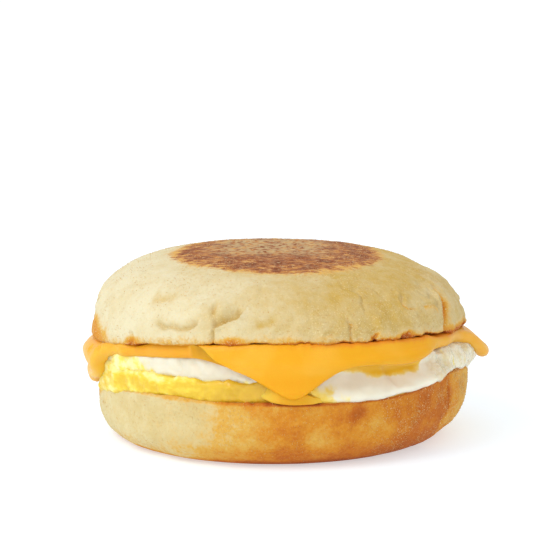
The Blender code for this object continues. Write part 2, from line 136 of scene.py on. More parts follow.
def cell_random(cells: Array, seed: int) -> Array:
    """Give every whole-numbered cell its own even random number from 0 to 1.

    The three cell numbers are multiplied by large odd numbers, added and stirred by shifts.

    Args:
        cells: whole numbers, with the three coordinates on the last axis.
        seed: changes the whole pattern.

    Returns:
        One number for each cell.
    """
    parts = cells.astype(np.int64).astype(np.uint32)
    mixed = parts[..., 0] * np.uint32(374761393) + parts[..., 1] * np.uint32(668265263)
    mixed = mixed + parts[..., 2] * np.uint32(2246822519) + np.uint32((seed * 3266489917) % 2**32)
    mixed = (mixed ^ (mixed >> np.uint32(13))) * np.uint32(1274126177)
    mixed = (mixed ^ (mixed >> np.uint32(16))) * np.uint32(2654435761)
    return (mixed ^ (mixed >> np.uint32(15))).astype(np.float64) / 2**32


def smooth_noise(points: Array, size: float, seed: int) -> Array:
    """Even lumps of about one size, from -1 to 1.

    Each point blends the random numbers of its cell's eight corners by 6t^5 - 15t^4 + 10t^3.

    Args:
        points: positions, with x, y and z on the last axis.
        size: width of a cell.
        seed: changes the pattern.

    Returns:
        One height for each point.
    """
    scaled = points / size
    base = np.floor(scaled)
    share = scaled - base
    share = share**3 * (share * (share * 6 - 15) + 10)
    total = np.zeros(points.shape[:-1])
    for corner in product((0, 1), repeat=3):
        weight = np.prod(np.where(np.array(corner) == 1, share, 1 - share), axis=-1)
        total += weight * cell_random(base + np.array(corner), seed)
    return 2 * total - 1


def rough_noise(points: Array, size: float, seed: int, layers: int = 3) -> Array:
    """Lumps with finer lumps on them: each layer is half the size and half the height of the last."""
    total = np.zeros(points.shape[:-1])
    for layer in range(layers):
        total += smooth_noise(points, size / 2**layer, seed + 17 * layer) / 2**layer
    return total / (2 - 2.0 ** (1 - layers))


def cell_distance(points: Array, size: float, seed: int) -> Array:
    """Distance, in cells, to the nearest of points strewn one to a cell.

    Args:
        points: positions, with x, y and z on the last axis.
        size: width of a cell.
        seed: changes the pattern.

    Returns:
        The distance for each point.
    """
    scaled = points / size
    base = np.floor(scaled)
    nearest = np.full(points.shape[:-1], 9.0)
    for step in product((-1, 0, 1), repeat=3):
        cell = base + np.array(step)
        spot = cell + np.stack([cell_random(cell, seed + axis) for axis in (1, 2, 3)], axis=-1)
        away = np.linalg.norm(scaled - spot, axis=-1)
        nearest = np.minimum(nearest, away)
    return nearest


def flat_points(x: Array, y: Array) -> Array:
    """Points at these places at no height, for noise that is the same all the way up."""
    return np.stack([x, y, np.zeros_like(x)], axis=-1)


@dataclass(frozen=True)
class Lumps:
    """One layer of relief: how high it stands, how wide its lumps are, its seed and its layers."""

    high: float
    size: float
    seed: int
    layers: int = 1

    def relief(self, points: Array) -> Array:
        """The height to add at each point."""
        return self.high * rough_noise(points, self.size, self.seed, self.layers)


def lumpy(points: Array, layers: tuple[Lumps, ...]) -> Array:
    """Add up the relief of several layers of lumps."""
    return sum(layer.relief(points) for layer in layers)


def wrapped_normals(grid: Array) -> Array:
    """Unit normals of a surface of rings.

    The normal is the cross product of the step to the next ring and the step round the ring.

    Args:
        grid: points by ring and column. The columns close on themselves.

    Returns:
        One outward normal for each point.
    """
    down = np.gradient(grid, axis=0)
    round_ring = np.roll(grid, -1, axis=1) - np.roll(grid, 1, axis=1)
    normal = np.cross(down, round_ring)
    return normal / np.maximum(np.linalg.norm(normal, axis=-1, keepdims=True), 1e-12)


def grid_normals(grid: Array) -> Array:
    """Unit normals of an open grid: the cross product of the steps along its two directions."""
    normal = np.cross(np.gradient(grid, axis=0), np.gradient(grid, axis=1))
    return normal / np.maximum(np.linalg.norm(normal, axis=-1, keepdims=True), 1e-12)


def even_steps(curve: Array, count: int) -> Array:
    """Find where along a sampled curve evenly spaced points lie.

    Args:
        curve: points along the curve, sampled finely from parameter 0 to 1.
        count: how many evenly spaced points are wanted.

    Returns:
        The parameter, from 0 to 1, of each of those points.
    """
    lengths = np.concatenate([[0], np.cumsum(np.linalg.norm(np.diff(curve, axis=0), axis=1))])
    wanted = np.linspace(0, lengths[-1], count)
    return np.interp(wanted, lengths, np.linspace(0, 1, len(curve)))


@dataclass
class Skin:
    """A closed surface ready to become a mesh, with numbers painted on its points."""

    points: Array
    quads: Array
    triangles: Array
    paint: dict[str, Array] = field(default_factory=dict)

    @staticmethod
    def from_rings(grid: Array, paint: dict[str, Array]) -> "Skin":
        """Close a stack of rings with a pole at each end.

        Args:
            grid: points by ring and column, from the top pole outwards, down and back in below.
            paint: numbers by ring and column.

        Returns:
            The closed skin.
        """
        rings, columns = grid.shape[:2]
        points = np.concatenate([grid.reshape(-1, 3), [grid[0].mean(axis=0)], [grid[-1].mean(axis=0)]])
        number = np.arange(rings * columns).reshape(rings, columns)
        beside = np.roll(number, -1, axis=1)
        quads = np.stack([number[:-1], number[1:], beside[1:], beside[:-1]], axis=-1).reshape(-1, 4)
        top = np.full(columns, rings * columns)
        caps = [
            np.stack([top, number[0], beside[0]], axis=-1),
            np.stack([number[-1], top + 1, beside[-1]], axis=-1),
        ]
        painted = {
            name: np.concatenate([value.ravel(), [value[0].mean()], [value[-1].mean()]])
            for name, value in paint.items()
        }
        return Skin(points, quads, np.concatenate(caps), painted)

    @staticmethod
    def from_faces(upper: Array, lower: Array, paint: dict[str, Array]) -> "Skin":
        """Join an upper and a lower grid that share their border.

        Args:
            upper: points of the upper face by row and column.
            lower: points of the lower face, equal to the upper ones along the border.
            paint: numbers by row and column, the same on both faces.

        Returns:
            The closed skin.
        """
        rows, columns = upper.shape[:2]
        above = np.arange(rows * columns).reshape(rows, columns)
        below = above.copy()
        below[1:-1, 1:-1] = rows * columns + np.arange((rows - 2) * (columns - 2)).reshape(rows - 2, -1)
        points = np.concatenate([upper.reshape(-1, 3), lower[1:-1, 1:-1].reshape(-1, 3)])
        quads = []
        for sheet, turned in ((above, False), (below, True)):
            corners = [sheet[:-1, :-1], sheet[1:, :-1], sheet[1:, 1:], sheet[:-1, 1:]]
            quads.append(np.stack(corners[::-1] if turned else corners, axis=-1).reshape(-1, 4))
        painted = {
            name: np.concatenate([value.ravel(), value[1:-1, 1:-1].ravel()]) for name, value in paint.items()
        }
        return Skin(points, np.concatenate(quads), np.zeros((0, 3), dtype=int), painted)

    def mesh(self, name: str) -> bpy.types.Mesh:
        """Turn the skin into a smooth mesh, with its paint as attributes of the points.

        Args:
            name: the mesh's name.

        Returns:
            The mesh.
        """
        mesh = bpy.data.meshes.new(name)
        corners = np.concatenate([self.quads.ravel(), self.triangles.ravel()]).astype(np.int32)
        past_quads = 4 * len(self.quads)
        starts = np.concatenate(
            [4 * np.arange(len(self.quads)), past_quads + 3 * np.arange(len(self.triangles))]
        )
        mesh.vertices.add(len(self.points))
        mesh.vertices.foreach_set("co", self.points.astype(np.float32).ravel())
        mesh.loops.add(len(corners))
        mesh.loops.foreach_set("vertex_index", corners)
        mesh.polygons.add(len(starts))
        mesh.polygons.foreach_set("loop_start", starts.astype(np.int32))
        mesh.update(calc_edges=True)
        mesh.validate()
        mesh.shade_smooth()
        for label, values in self.paint.items():
            attribute = mesh.attributes.new(label, "FLOAT", "POINT")
            attribute.data.foreach_set("value", values.astype(np.float32))
        return mesh


class Recipe:
    """Builds one material's nodes with few words."""

    def __init__(self, name: str) -> None:
        """Start a material with one Principled shader."""
        self.material = bpy.data.materials.new(name)
        self.material.use_nodes = True
        self.tree = self.material.node_tree
        self.shader = self.tree.nodes["Principled BSDF"]
        self.place = self.add("ShaderNodeTexCoord").outputs["Object"]

    def add(self, kind: str, **settings: object) -> bpy.types.Node:
        """Add a node.

        Args:
            kind: the node's Blender type.
            settings: the node's own properties.

        Returns:
            The new node.
        """
        node = self.tree.nodes.new(kind)
        for name, value in settings.items():
            setattr(node, name, value)
        return node

    def feed(self, socket: bpy.types.NodeSocket, value: object) -> None:
        """Link an output to a socket, or set the socket's value.

        Args:
            socket: the input.
            value: another node's output, a number or a colour.
        """
        if isinstance(value, bpy.types.NodeSocket):
            self.tree.links.new(value, socket)
        elif isinstance(value, tuple):
            socket.default_value = (*value, 1.0) if len(value) == 3 and socket.type == "RGBA" else value
        else:
            socket.default_value = value

    def painted(self, name: str) -> bpy.types.NodeSocket:
        """The number that the mesh carries under this name."""
        return self.add("ShaderNodeAttribute", attribute_name=name).outputs["Fac"]

    def grain(
        self, size: float, detail: float = 2.0, stretch: tuple[float, float, float] = (1.0, 1.0, 1.0)
    ) -> bpy.types.NodeSocket:
        """Noise from 0 to 1.

        Args:
            size: width of one lump in metres.
            detail: how many finer layers it has.
            stretch: how much finer it is along x, y and z.

        Returns:
            The noise's output.
        """
        mapping = self.add("ShaderNodeMapping")
        self.feed(mapping.inputs["Vector"], self.place)
        self.feed(mapping.inputs["Scale"], stretch)
        node = self.add("ShaderNodeTexNoise")
        self.feed(node.inputs["Vector"], mapping.outputs["Vector"])
        self.feed(node.inputs["Scale"], 1 / size)
        self.feed(node.inputs["Detail"], detail)
        return node.outputs["Fac"]

    def cells(self, size: float) -> bpy.types.NodeSocket:
        """The distance to the nearest of points strewn this far apart."""
        node = self.add("ShaderNodeTexVoronoi")
        self.feed(node.inputs["Vector"], self.place)
        self.feed(node.inputs["Scale"], 1 / size)
        return node.outputs["Distance"]

    def stretch(
        self, value: object, low: float, high: float, to_low: float = 0.0, to_high: float = 1.0
    ) -> bpy.types.NodeSocket:
        """Ease a number from one range to another and hold it there.

        Args:
            value: the number's output.
            low, high: the range it comes from.
            to_low, to_high: the range it goes to.

        Returns:
            The new number.
        """
        node = self.add("ShaderNodeMapRange", interpolation_type="SMOOTHSTEP")
        for socket, given in zip(node.inputs, (value, low, high, to_low, to_high)):
            self.feed(socket, given)
        return node.outputs["Result"]

    def uneven(
        self,
        size: float,
        detail: float,
        most: float,
        middle: tuple[float, float] = (0.3, 0.7),
        stretch: tuple[float, float, float] = (1.0, 1.0, 1.0),
    ) -> bpy.types.NodeSocket:
        """Noise that runs from minus the most to the most.

        Args:
            size, detail, stretch: as for the grain.
            most: how far it goes either way.
            middle: the part of the grain's range that it is eased from.

        Returns:
            The noise's output.
        """
        return self.stretch(self.grain(size, detail, stretch), *middle, -most, most)

    def sums(self, operation: str, first: object, second: object) -> bpy.types.NodeSocket:
        """Work out one sum, such as MULTIPLY or ADD, of two numbers."""
        node = self.add("ShaderNodeMath", operation=operation)
        self.feed(node.inputs[0], first)
        self.feed(node.inputs[1], second)
        return node.outputs["Value"]

    def mix(self, share: object, first: object, second: object, mode: str = "MIX") -> bpy.types.NodeSocket:
        """Mix two colours.

        Args:
            share: how much of the second colour there is.
            first, second: the colours.
            mode: how the second one is laid over the first.

        Returns:
            The mixed colour.
        """
        node = self.add("ShaderNodeMix", data_type="RGBA", blend_type=mode)
        self.feed(node.inputs["Factor"], share)
        self.feed(node.inputs[6], first)
        self.feed(node.inputs[7], second)
        return node.outputs[2]

    def tones(self, value: object, stops: tuple[tuple[float, Colour], ...]) -> bpy.types.NodeSocket:
        """Turn a number into a colour, by stops of a place from 0 to 1 and its colour."""
        node = self.add("ShaderNodeValToRGB")
        self.feed(node.inputs["Fac"], value)
        elements = node.color_ramp.elements
        while len(elements) < len(stops):
            elements.new(1.0)
        for element, (place, colour) in zip(elements, stops):
            element.position = place
            element.color = (*colour, 1.0)
        return node.outputs["Color"]

    def bump(self, layers: tuple[tuple[object, float], ...]) -> None:
        """Give the shader fine relief.

        Args:
            layers: pairs of a height's output and the height in metres that 1 stands for.
        """
        below = None
        for height, deep in layers:
            node = self.add("ShaderNodeBump")
            self.feed(node.inputs["Strength"], 1.0)
            self.feed(node.inputs["Distance"], deep)
            self.feed(node.inputs["Height"], height)
            if below is not None:
                self.feed(node.inputs["Normal"], below)
            below = node.outputs["Normal"]
        self.feed(self.shader.inputs["Normal"], below)

    def surface(self, colour: object, roughness: object, shine: float = 0.5) -> None:
        """Give the shader its colour, its roughness and how strongly it mirrors."""
        self.feed(self.shader.inputs["Base Color"], colour)
        self.feed(self.shader.inputs["Roughness"], roughness)
        self.feed(self.shader.inputs["Specular IOR Level"], shine)

    def inside(self, weight: float, radius: tuple[float, float, float], scale: float) -> None:
        """Let light into the surface: how much, how far each colour goes, and the scale in metres."""
        self.feed(self.shader.inputs["Subsurface Weight"], weight)
        self.shader.inputs["Subsurface Radius"].default_value = radius
        self.feed(self.shader.inputs["Subsurface Scale"], scale)


@dataclass(frozen=True)
class CrustFinish:
    """Dry muffin crust: cream dough that turns golden and brown as its paint says; its tan and toast paint
    also carry painted shade and painted light.
    """

    name: str
    cream: Colour = seen(243, 231, 192)
    tan: Colour = seen(216, 180, 96)
    straw: Colour = seen(236, 184, 84)
    gold: Colour = seen(228, 150, 44)
    amber: Colour = seen(206, 114, 34)
    brown: Colour = seen(168, 78, 26)
    sear_edge: Colour = seen(240, 188, 98)
    sear: Colour = seen(208, 140, 76)
    sear_dark: Colour = seen(166, 96, 56)
    sear_black: Colour = seen(126, 66, 38)
    ash: Colour = seen(214, 186, 136)
    crumb: Colour = seen(232, 200, 152)
    flour: Colour = seen(248, 224, 166)
    pit: Colour = seen(228, 192, 126)
    shine: float = 0.14
    soft: float = 0.08
    soft_reach: Colour = (1.0, 0.6, 0.3)
    soft_depth: float = 1.0 * MM

    def material(self) -> bpy.types.Material:
        """Make the material.

        Returns:
            A crust that reads five paints from its mesh: its tan, which also carries painted shade and
            painted light, toast, which also carries painted shade in creases and gaps, griddle, ashen and
            dust.
        """
        recipe = Recipe(self.name)
        cloud = recipe.uneven(8 * MM, 3, 0.14)
        blotch = recipe.uneven(3.4 * MM, 4, 0.06)
        fine = recipe.grain(0.8 * MM, 3)
        speck = recipe.grain(0.36 * MM, 1)
        grit = recipe.stretch(fine, 0.25, 0.75, -0.05, 0.05)
        dapple = recipe.uneven(2.4 * MM, 3, 0.08)
        clouded = recipe.sums("ADD", dapple, recipe.sums("ADD", cloud, grit))
        # The tan paint is partly the dough's own tan and partly painted shade and painted light.
        tan_and_shade = recipe.sums("ADD", recipe.painted("tan_and_shade"), clouded)
        dough = recipe.mix(tan_and_shade, self.cream, self.tan)
        toast = recipe.sums("ADD", recipe.painted("toast"), recipe.sums("ADD", blotch, grit))
        toasted = recipe.tones(
            toast,
            ((0.0, self.cream), (0.3, self.straw), (0.5, self.gold), (0.7, self.amber), (1.0, self.brown)),
        )
        crust = recipe.mix(recipe.stretch(toast, 0.0, 0.32), dough, toasted)
        mottle = recipe.uneven(1.3 * MM, 6, 0.2, (0.34, 0.66), (0.6, 1.2, 1.0))
        patches = recipe.uneven(4.2 * MM, 3, 0.14)
        griddle = recipe.sums("ADD", recipe.painted("griddle"), recipe.sums("ADD", mottle, patches))
        seared = recipe.tones(
            griddle,
            ((0.1, self.sear_edge), (0.3, self.sear), (0.52, self.sear_dark), (0.85, self.sear_black)),
        )
        broken = recipe.sums("ADD", recipe.painted("griddle"), recipe.stretch(fine, 0.3, 0.7, -0.06, 0.06))
        crust = recipe.mix(recipe.stretch(broken, 0.04, 0.26), crust, seared)
        dots = recipe.stretch(recipe.grain(0.6 * MM, 3, (0.5, 1.5, 1.0)), 0.57, 0.68, 0.0, 0.7)
        dotted = recipe.sums("MULTIPLY", dots, recipe.stretch(recipe.painted("griddle"), 0.3, 0.5))
        crust = recipe.mix(dotted, crust, self.crumb)
        patchy = recipe.stretch(recipe.grain(1.5 * MM, 5), 0.42, 0.56)
        crust = recipe.mix(recipe.sums("MULTIPLY", recipe.painted("ashen"), patchy), crust, self.ash)
        flecks = recipe.sums("MULTIPLY", recipe.stretch(speck, 0.58, 0.72), recipe.painted("dust"))
        crust = recipe.mix(flecks, crust, self.flour)
        pitted = recipe.stretch(recipe.grain(0.5 * MM, 1, (1.0, 1.3, 0.8)), 0.64, 0.78, 0.0, 0.3)
        crust = recipe.mix(pitted, crust, self.pit, "MULTIPLY")
        recipe.surface(crust, recipe.stretch(fine, 0.3, 0.7, 0.66, 0.86), self.shine)
        recipe.inside(self.soft, self.soft_reach, self.soft_depth)
        recipe.bump(((recipe.grain(2.6 * MM, 3), 0.16 * MM), (fine, 0.16 * MM), (speck, 0.08 * MM)))
        return recipe.material


@dataclass(frozen=True)
class CheeseFinish:
    """Melted cheese: satin, deeper orange where it hangs low at the front and darker along a thin front edge,
    both painted shade, with painted shade in the crevice under the crown's rim, yellow over the yolk.
    """

    name: str = "melted_cheese"
    light: Colour = (0.84, 0.44, 0.035)
    middle: Colour = (0.80, 0.375, 0.006)
    deep: Colour = (0.80, 0.35, 0.001)
    shade: Colour = (0.70, 0.345, 0.006)
    # Painted shade in the crevice under the crown's rim and along the film's lower edge.
    rim_shade: Colour = (0.72, 0.20, 0.012)
    eggy: Colour = (0.82, 0.55, 0.06)
    peach: Colour = (0.84, 0.42, 0.055)
    shine: float = 0.22
    soft: float = 0.25
    soft_reach: Colour = (1.0, 0.4, 0.08)
    soft_depth: float = 1.6 * MM

    def material(self) -> bpy.types.Material:
        """Make the material.

        Returns:
            A cheese that reads the paint called deep (partly painted shade), thin (painted shade in the shade
            colour), eggy, peach, and the painted shade in the crevice under the crown's rim from its mesh.
        """
        recipe = Recipe(self.name)
        cloud = recipe.uneven(9 * MM, 2, 0.18)
        tone = recipe.sums("ADD", recipe.painted("deep"), cloud)
        colour = recipe.tones(tone, ((0.0, self.light), (0.5, self.middle), (1.0, self.deep)))
        # Painted shade: the thin paint mixes in the darker shade colour.
        colour = recipe.mix(recipe.painted("thin"), colour, self.shade)
        colour = recipe.mix(recipe.painted("eggy"), colour, self.eggy)
        colour = recipe.mix(recipe.painted("peach"), colour, self.peach)
        # Painted shade in the crevice under the crown's rim.
        colour = recipe.mix(recipe.painted("crevice_shade"), colour, self.rim_shade)
        recipe.surface(colour, recipe.stretch(recipe.grain(3 * MM), 0.3, 0.7, 0.34, 0.48), self.shine)
        recipe.inside(self.soft, self.soft_reach, self.soft_depth)
        recipe.bump(((recipe.grain(2.2 * MM, 2), 0.05 * MM), (recipe.grain(0.5 * MM, 1), 0.01 * MM)))
        return recipe.material


@dataclass(frozen=True)
class WhiteFinish:
    """Cooked egg white: moist and milky, curdled with yolk at one end, smeared under the cheese, with painted
    light and painted shade that move it between milk and a darker cream.
    """

    name: str = "cooked_egg_white"
    milk: Colour = (0.88, 0.83, 0.67)
    # A darker copy of the milk colour, used as painted shade.
    cream: Colour = (0.72, 0.66, 0.50)
    lemon: Colour = (0.90, 0.70, 0.09)
    curd: Colour = (0.91, 0.82, 0.38)
    smear: Colour = (0.84, 0.51, 0.01)
    fringe: Colour = (0.86, 0.66, 0.16)
    # Yellow streaks in the frill, also used as painted shade in its folds.
    straw: Colour = (0.72, 0.58, 0.30)
    shine: float = 0.5
    soft: float = 0.4
    soft_reach: Colour = (1.0, 0.8, 0.6)
    soft_depth: float = 2.0 * MM

    def material(self) -> bpy.types.Material:
        """Make the material.

        Returns:
            An egg white that reads the paint called curdled, smear and frill, and the painted shade and
            painted light between milk and cream, from its mesh.
        """
        recipe = Recipe(self.name)
        cloud = recipe.uneven(6 * MM, 3, 0.25, (0.35, 0.7))
        # Painted shade and painted light: the white runs from milk to the darker cream.
        milky = recipe.mix(recipe.sums("ADD", recipe.painted("white_shade"), cloud), self.milk, self.cream)
        curds = recipe.mix(recipe.stretch(recipe.grain(2.1 * MM, 4), 0.36, 0.6), self.lemon, self.curd)
        patchy = recipe.uneven(2.4 * MM, 3, 0.3)
        curdled = recipe.stretch(recipe.sums("ADD", recipe.painted("curdled"), patchy), 0.25, 0.85)
        colour = recipe.mix(curdled, milky, curds)
        smeared = recipe.sums("ADD", recipe.painted("smear"), recipe.stretch(patchy, -0.3, 0.3, -0.12, 0.12))
        colour = recipe.mix(recipe.stretch(smeared, 0.15, 0.5), colour, self.fringe)
        colour = recipe.mix(recipe.stretch(smeared, 0.35, 0.85), colour, self.smear)
        # Yellow streaks, with painted shade in the frill's folds.
        streaks_and_shade = recipe.stretch(recipe.grain(1.8 * MM, 3, (1.0, 1.0, 0.4)), 0.42, 0.62, 0.25, 0.75)
        colour = recipe.mix(recipe.sums("MULTIPLY", recipe.painted("frill"), streaks_and_shade), colour, self.straw)
        recipe.surface(colour, recipe.stretch(recipe.painted("frill"), 0.0, 1.0, 0.34, 0.14), self.shine)
        recipe.inside(self.soft, self.soft_reach, self.soft_depth)
        sparkle = recipe.sums("MULTIPLY", recipe.cells(0.6 * MM), recipe.painted("frill"))
        recipe.bump(((recipe.grain(1.6 * MM, 2), 0.05 * MM), (sparkle, 0.22 * MM)))
        return recipe.material


@dataclass(frozen=True)
class YolkFinish:
    """Cooked, broken yolk: grainy and bright, with paler curds where white is mixed in."""

    name: str = "cooked_egg_yolk"
    gold: Colour = (0.75, 0.50, 0.02)
    yellow: Colour = (0.84, 0.63, 0.05)
    pale: Colour = (0.89, 0.78, 0.28)
    amber: Colour = (0.70, 0.43, 0.02)
    soft: float = 0.3
    soft_reach: Colour = (1.0, 0.7, 0.2)
    soft_depth: float = 1.5 * MM

    def material(self) -> bpy.types.Material:
        """Make the material.

        Returns:
            A yolk that reads the paint called pale and rich from its mesh.
        """
        recipe = Recipe(self.name)
        patch = recipe.uneven(3.4 * MM, 4, 0.36, (0.3, 0.7), (0.9, 0.9, 2.2))
        tone = recipe.sums("ADD", recipe.painted("pale"), patch)
        colour = recipe.tones(tone, ((0.1, self.gold), (0.45, self.yellow), (0.9, self.pale)))
        rich = recipe.sums("ADD", recipe.painted("rich"), recipe.stretch(patch, -0.36, 0.36, -0.12, 0.12))
        colour = recipe.mix(recipe.stretch(rich, 0.1, 1.0), colour, self.amber)
        recipe.surface(colour, recipe.stretch(recipe.grain(1.0 * MM), 0.3, 0.7, 0.3, 0.5))
        recipe.inside(self.soft, self.soft_reach, self.soft_depth)
        recipe.bump(((recipe.grain(1.1 * MM, 3), 0.12 * MM), (recipe.grain(0.4 * MM, 1), 0.03 * MM)))
        return recipe.material


@dataclass(frozen=True)
class GrainFinish:
    """Pale coarse cornmeal and flour that stick to the crust."""

    name: str = "cornmeal_dust"
    pale: Colour = seen(240, 206, 138)
    gold: Colour = seen(228, 174, 90)
    roughness: float = 0.45

    def material(self) -> bpy.types.Material:
        """Make the material of the loose grains."""
        recipe = Recipe(self.name)
        colour = recipe.mix(recipe.stretch(recipe.grain(1.3 * MM), 0.45, 0.6), self.pale, self.gold)
        recipe.surface(colour, self.roughness)
        recipe.bump(((recipe.grain(0.2 * MM), 0.02 * MM),))
        return recipe.material


@dataclass(frozen=True)
class FloorFinish:
    """A plain pale studio floor."""

    name: str = "pale_floor"
    colour: Colour = (0.54, 0.62, 0.69)
    white: Colour = (1.0, 1.0, 1.0)
    glow: float = 0.5
    roughness: float = 0.9
    shine: float = 0.1

    def material(self) -> bpy.types.Material:
        """Make the floor's material."""
        recipe = Recipe(self.name)
        recipe.surface(self.colour, self.roughness, self.shine)
        recipe.feed(recipe.shader.inputs["Emission Color"], self.white)
        recipe.feed(recipe.shader.inputs["Emission Strength"], self.glow)
        return recipe.material


@dataclass(frozen=True)
class SandwichForm:
    """The surfaces on which the layers lie."""

    radius: float = 48.3 * MM
    height: float = 48.0 * MM
    air: float = 0.35 * MM
    heel_face_height: float = 16.0 * MM
    heel_rise_right: float = 2.2 * MM
    heel_rise_front: float = 1.5 * MM
    heel_waves: tuple[tuple[float, float, float], ...] = (
        (-140, 1.3 * MM, 26),
        (180, -1.6 * MM, 16),
        (-62, -1.3 * MM, 24),
        (-25, 1.5 * MM, 13),
        (60, 0.8 * MM, 30),
        (130, -0.7 * MM, 25),
    )
    crown_face_height: float = 26.4 * MM
    crown_rise_right: float = 1.5 * MM
    crown_rise_front: float = 5.3 * MM
    crown_drop_back: float = 1.4 * MM

    def muffin_radius(self, azimuth: Array) -> Array:
        """The muffin's radius, a little out of round: waves of two and three to the turn."""
        angle = np.radians(azimuth)
        return self.radius + (0.35 * np.cos(2 * angle + 0.5) + 0.3 * np.cos(3 * angle - 1.0)) * MM

    def heel_face(self, x: Array, y: Array) -> Array:
        """Height of the heel's torn face.

        It is a plane that rises to the right and the front, with a few low waves along the rim.

        Args:
            x, y: the places asked for.

        Returns:
            The height at each place.
        """
        share = np.hypot(x, y) / self.radius
        slope = (self.heel_rise_right * x - self.heel_rise_front * y) / self.radius
        azimuth = azimuth_of(x, y)
        waves = sum(height * swell(azimuth, at, width) for at, height, width in self.heel_waves)
        return self.heel_face_height + slope + waves * ease(share)

    def crown_face(self, x: Array, y: Array) -> Array:
        """Height of the crown's torn face.

        It is bent along the middle, so that it rises towards the front and falls a little behind:
        e * f + b * sqrt(f^2 + 0.03), where f runs from -1 at the back to 1 at the front.

        Args:
            x, y: the places asked for.

        Returns:
            The height at each place.
        """
        front = -y / self.radius
        even = (self.crown_rise_front + self.crown_drop_back) / 2
        bend = (self.crown_rise_front - self.crown_drop_back) / 2
        rise = even * front + bend * np.sqrt(front * front + 0.03)
        return self.crown_face_height + self.crown_rise_right * x / self.radius + rise


@dataclass(frozen=True)
class Crease:
    """A fold in the crust along a few places, each an azimuth in degrees and a height in mm.

    Along its places the crust slopes gently into it from the left and ends in a crisp edge at
    the right.
    """

    places: tuple[tuple[float, float], ...]
    deep: float
    wide: float
    crisp: float = 0.3 * MM
    lip: float = 0.25
    fade: float = 1.2 * MM
    # How much toast, with painted shade, colours the inside of the crease.
    toasted: float = 0.0

    def distance(self, azimuth: Array, height: Array, radius: float) -> tuple[Array, Array, Array]:
        """Measure how far each point of the crust is from the crease.

        Args:
            azimuth, height: where the points are.
            radius: turns the azimuth into a length round the crust.

        Returns:
            The distance to the nearest stretch, 1 at its left or -1 at its right, and the
            distance along the crease to its nearer end.
        """
        least = np.full(azimuth.shape, 1.0)
        side = np.ones(azimuth.shape)
        gone = np.zeros(azimuth.shape)
        start = 0.0
        for (a0, z0), (a1, z1) in zip(self.places[:-1], self.places[1:]):
            along = np.array([math.radians(a1 - a0) * radius, (z1 - z0) * MM])
            here = np.stack([np.radians(turn_between(azimuth, a0)) * radius, height - z0 * MM], axis=-1)
            share = np.clip(here @ along / (along @ along), 0, 1)
            away = np.linalg.norm(here - share[..., None] * along, axis=-1)
            nearer = away < least
            left = np.sign(along[0] * here[..., 1] - along[1] * here[..., 0])
            side = np.where(nearer, left, side)
            gone = np.where(nearer, start + share * np.linalg.norm(along), gone)
            least = np.where(nearer, away, least)
            start += float(np.linalg.norm(along))
        return least, side, np.minimum(gone, start - gone)

    def relief(self, azimuth: Array, height: Array, radius: float) -> tuple[Array, Array]:
        """Work out the crease's depth at each point of the crust.

        At a distance d the cut is e^-(d/w)^2 deep, with the gentle width w on the left and the
        crisp one on the right, where a lip e^-((d-2.6w)/2w)^2 stands up. It fades at its ends.

        Args:
            azimuth, height: where the points are.
            radius: turns the azimuth into a length round the crust.

        Returns:
            The height to add along the normal, and how far inside the cut each point is, 0 to 1.
        """
        away, side, end = self.distance(azimuth, height, radius)
        width = np.where(side > 0, self.wide, self.crisp)
        whole = 0.25 + 0.75 * ease(end / self.fade)
        cut = np.exp(-((away / width) ** 2)) * whole
        lip = np.exp(-(((away - 2.6 * self.crisp) / (2 * self.crisp)) ** 2)) * (side < 0) * whole
        return self.deep * (self.lip * lip - cut), cut


@dataclass(frozen=True)
class Puff:
    """A round swelling of the crust, or a dimple where its height is negative."""

    azimuth: float
    height: float
    radius: float
    rise: float

    def relief(self, azimuth: Array, height: Array, radius: float) -> Array:
        """Height to add along the normal: e^-(d/r)^2 of the rise, at a distance d."""
        across = np.radians(turn_between(azimuth, self.azimuth)) * radius
        away = np.hypot(across, height - self.height * MM)
        return self.rise * np.exp(-((away / self.radius) ** 2))


def piece(name: str, skin: Skin, material: bpy.types.Material) -> bpy.types.Object:
    """Put a finished skin into the scene and let it ride on the sandwich.

    Args:
        name: the piece's name.
        skin: its surface.
        material: its material.

    Returns:
        The new object.
    """
    thing = bpy.data.objects.new(name, skin.mesh(name))
    thing.data.materials.append(material)
    bpy.context.scene.collection.objects.link(thing)
    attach(thing, BODY)
    return thing


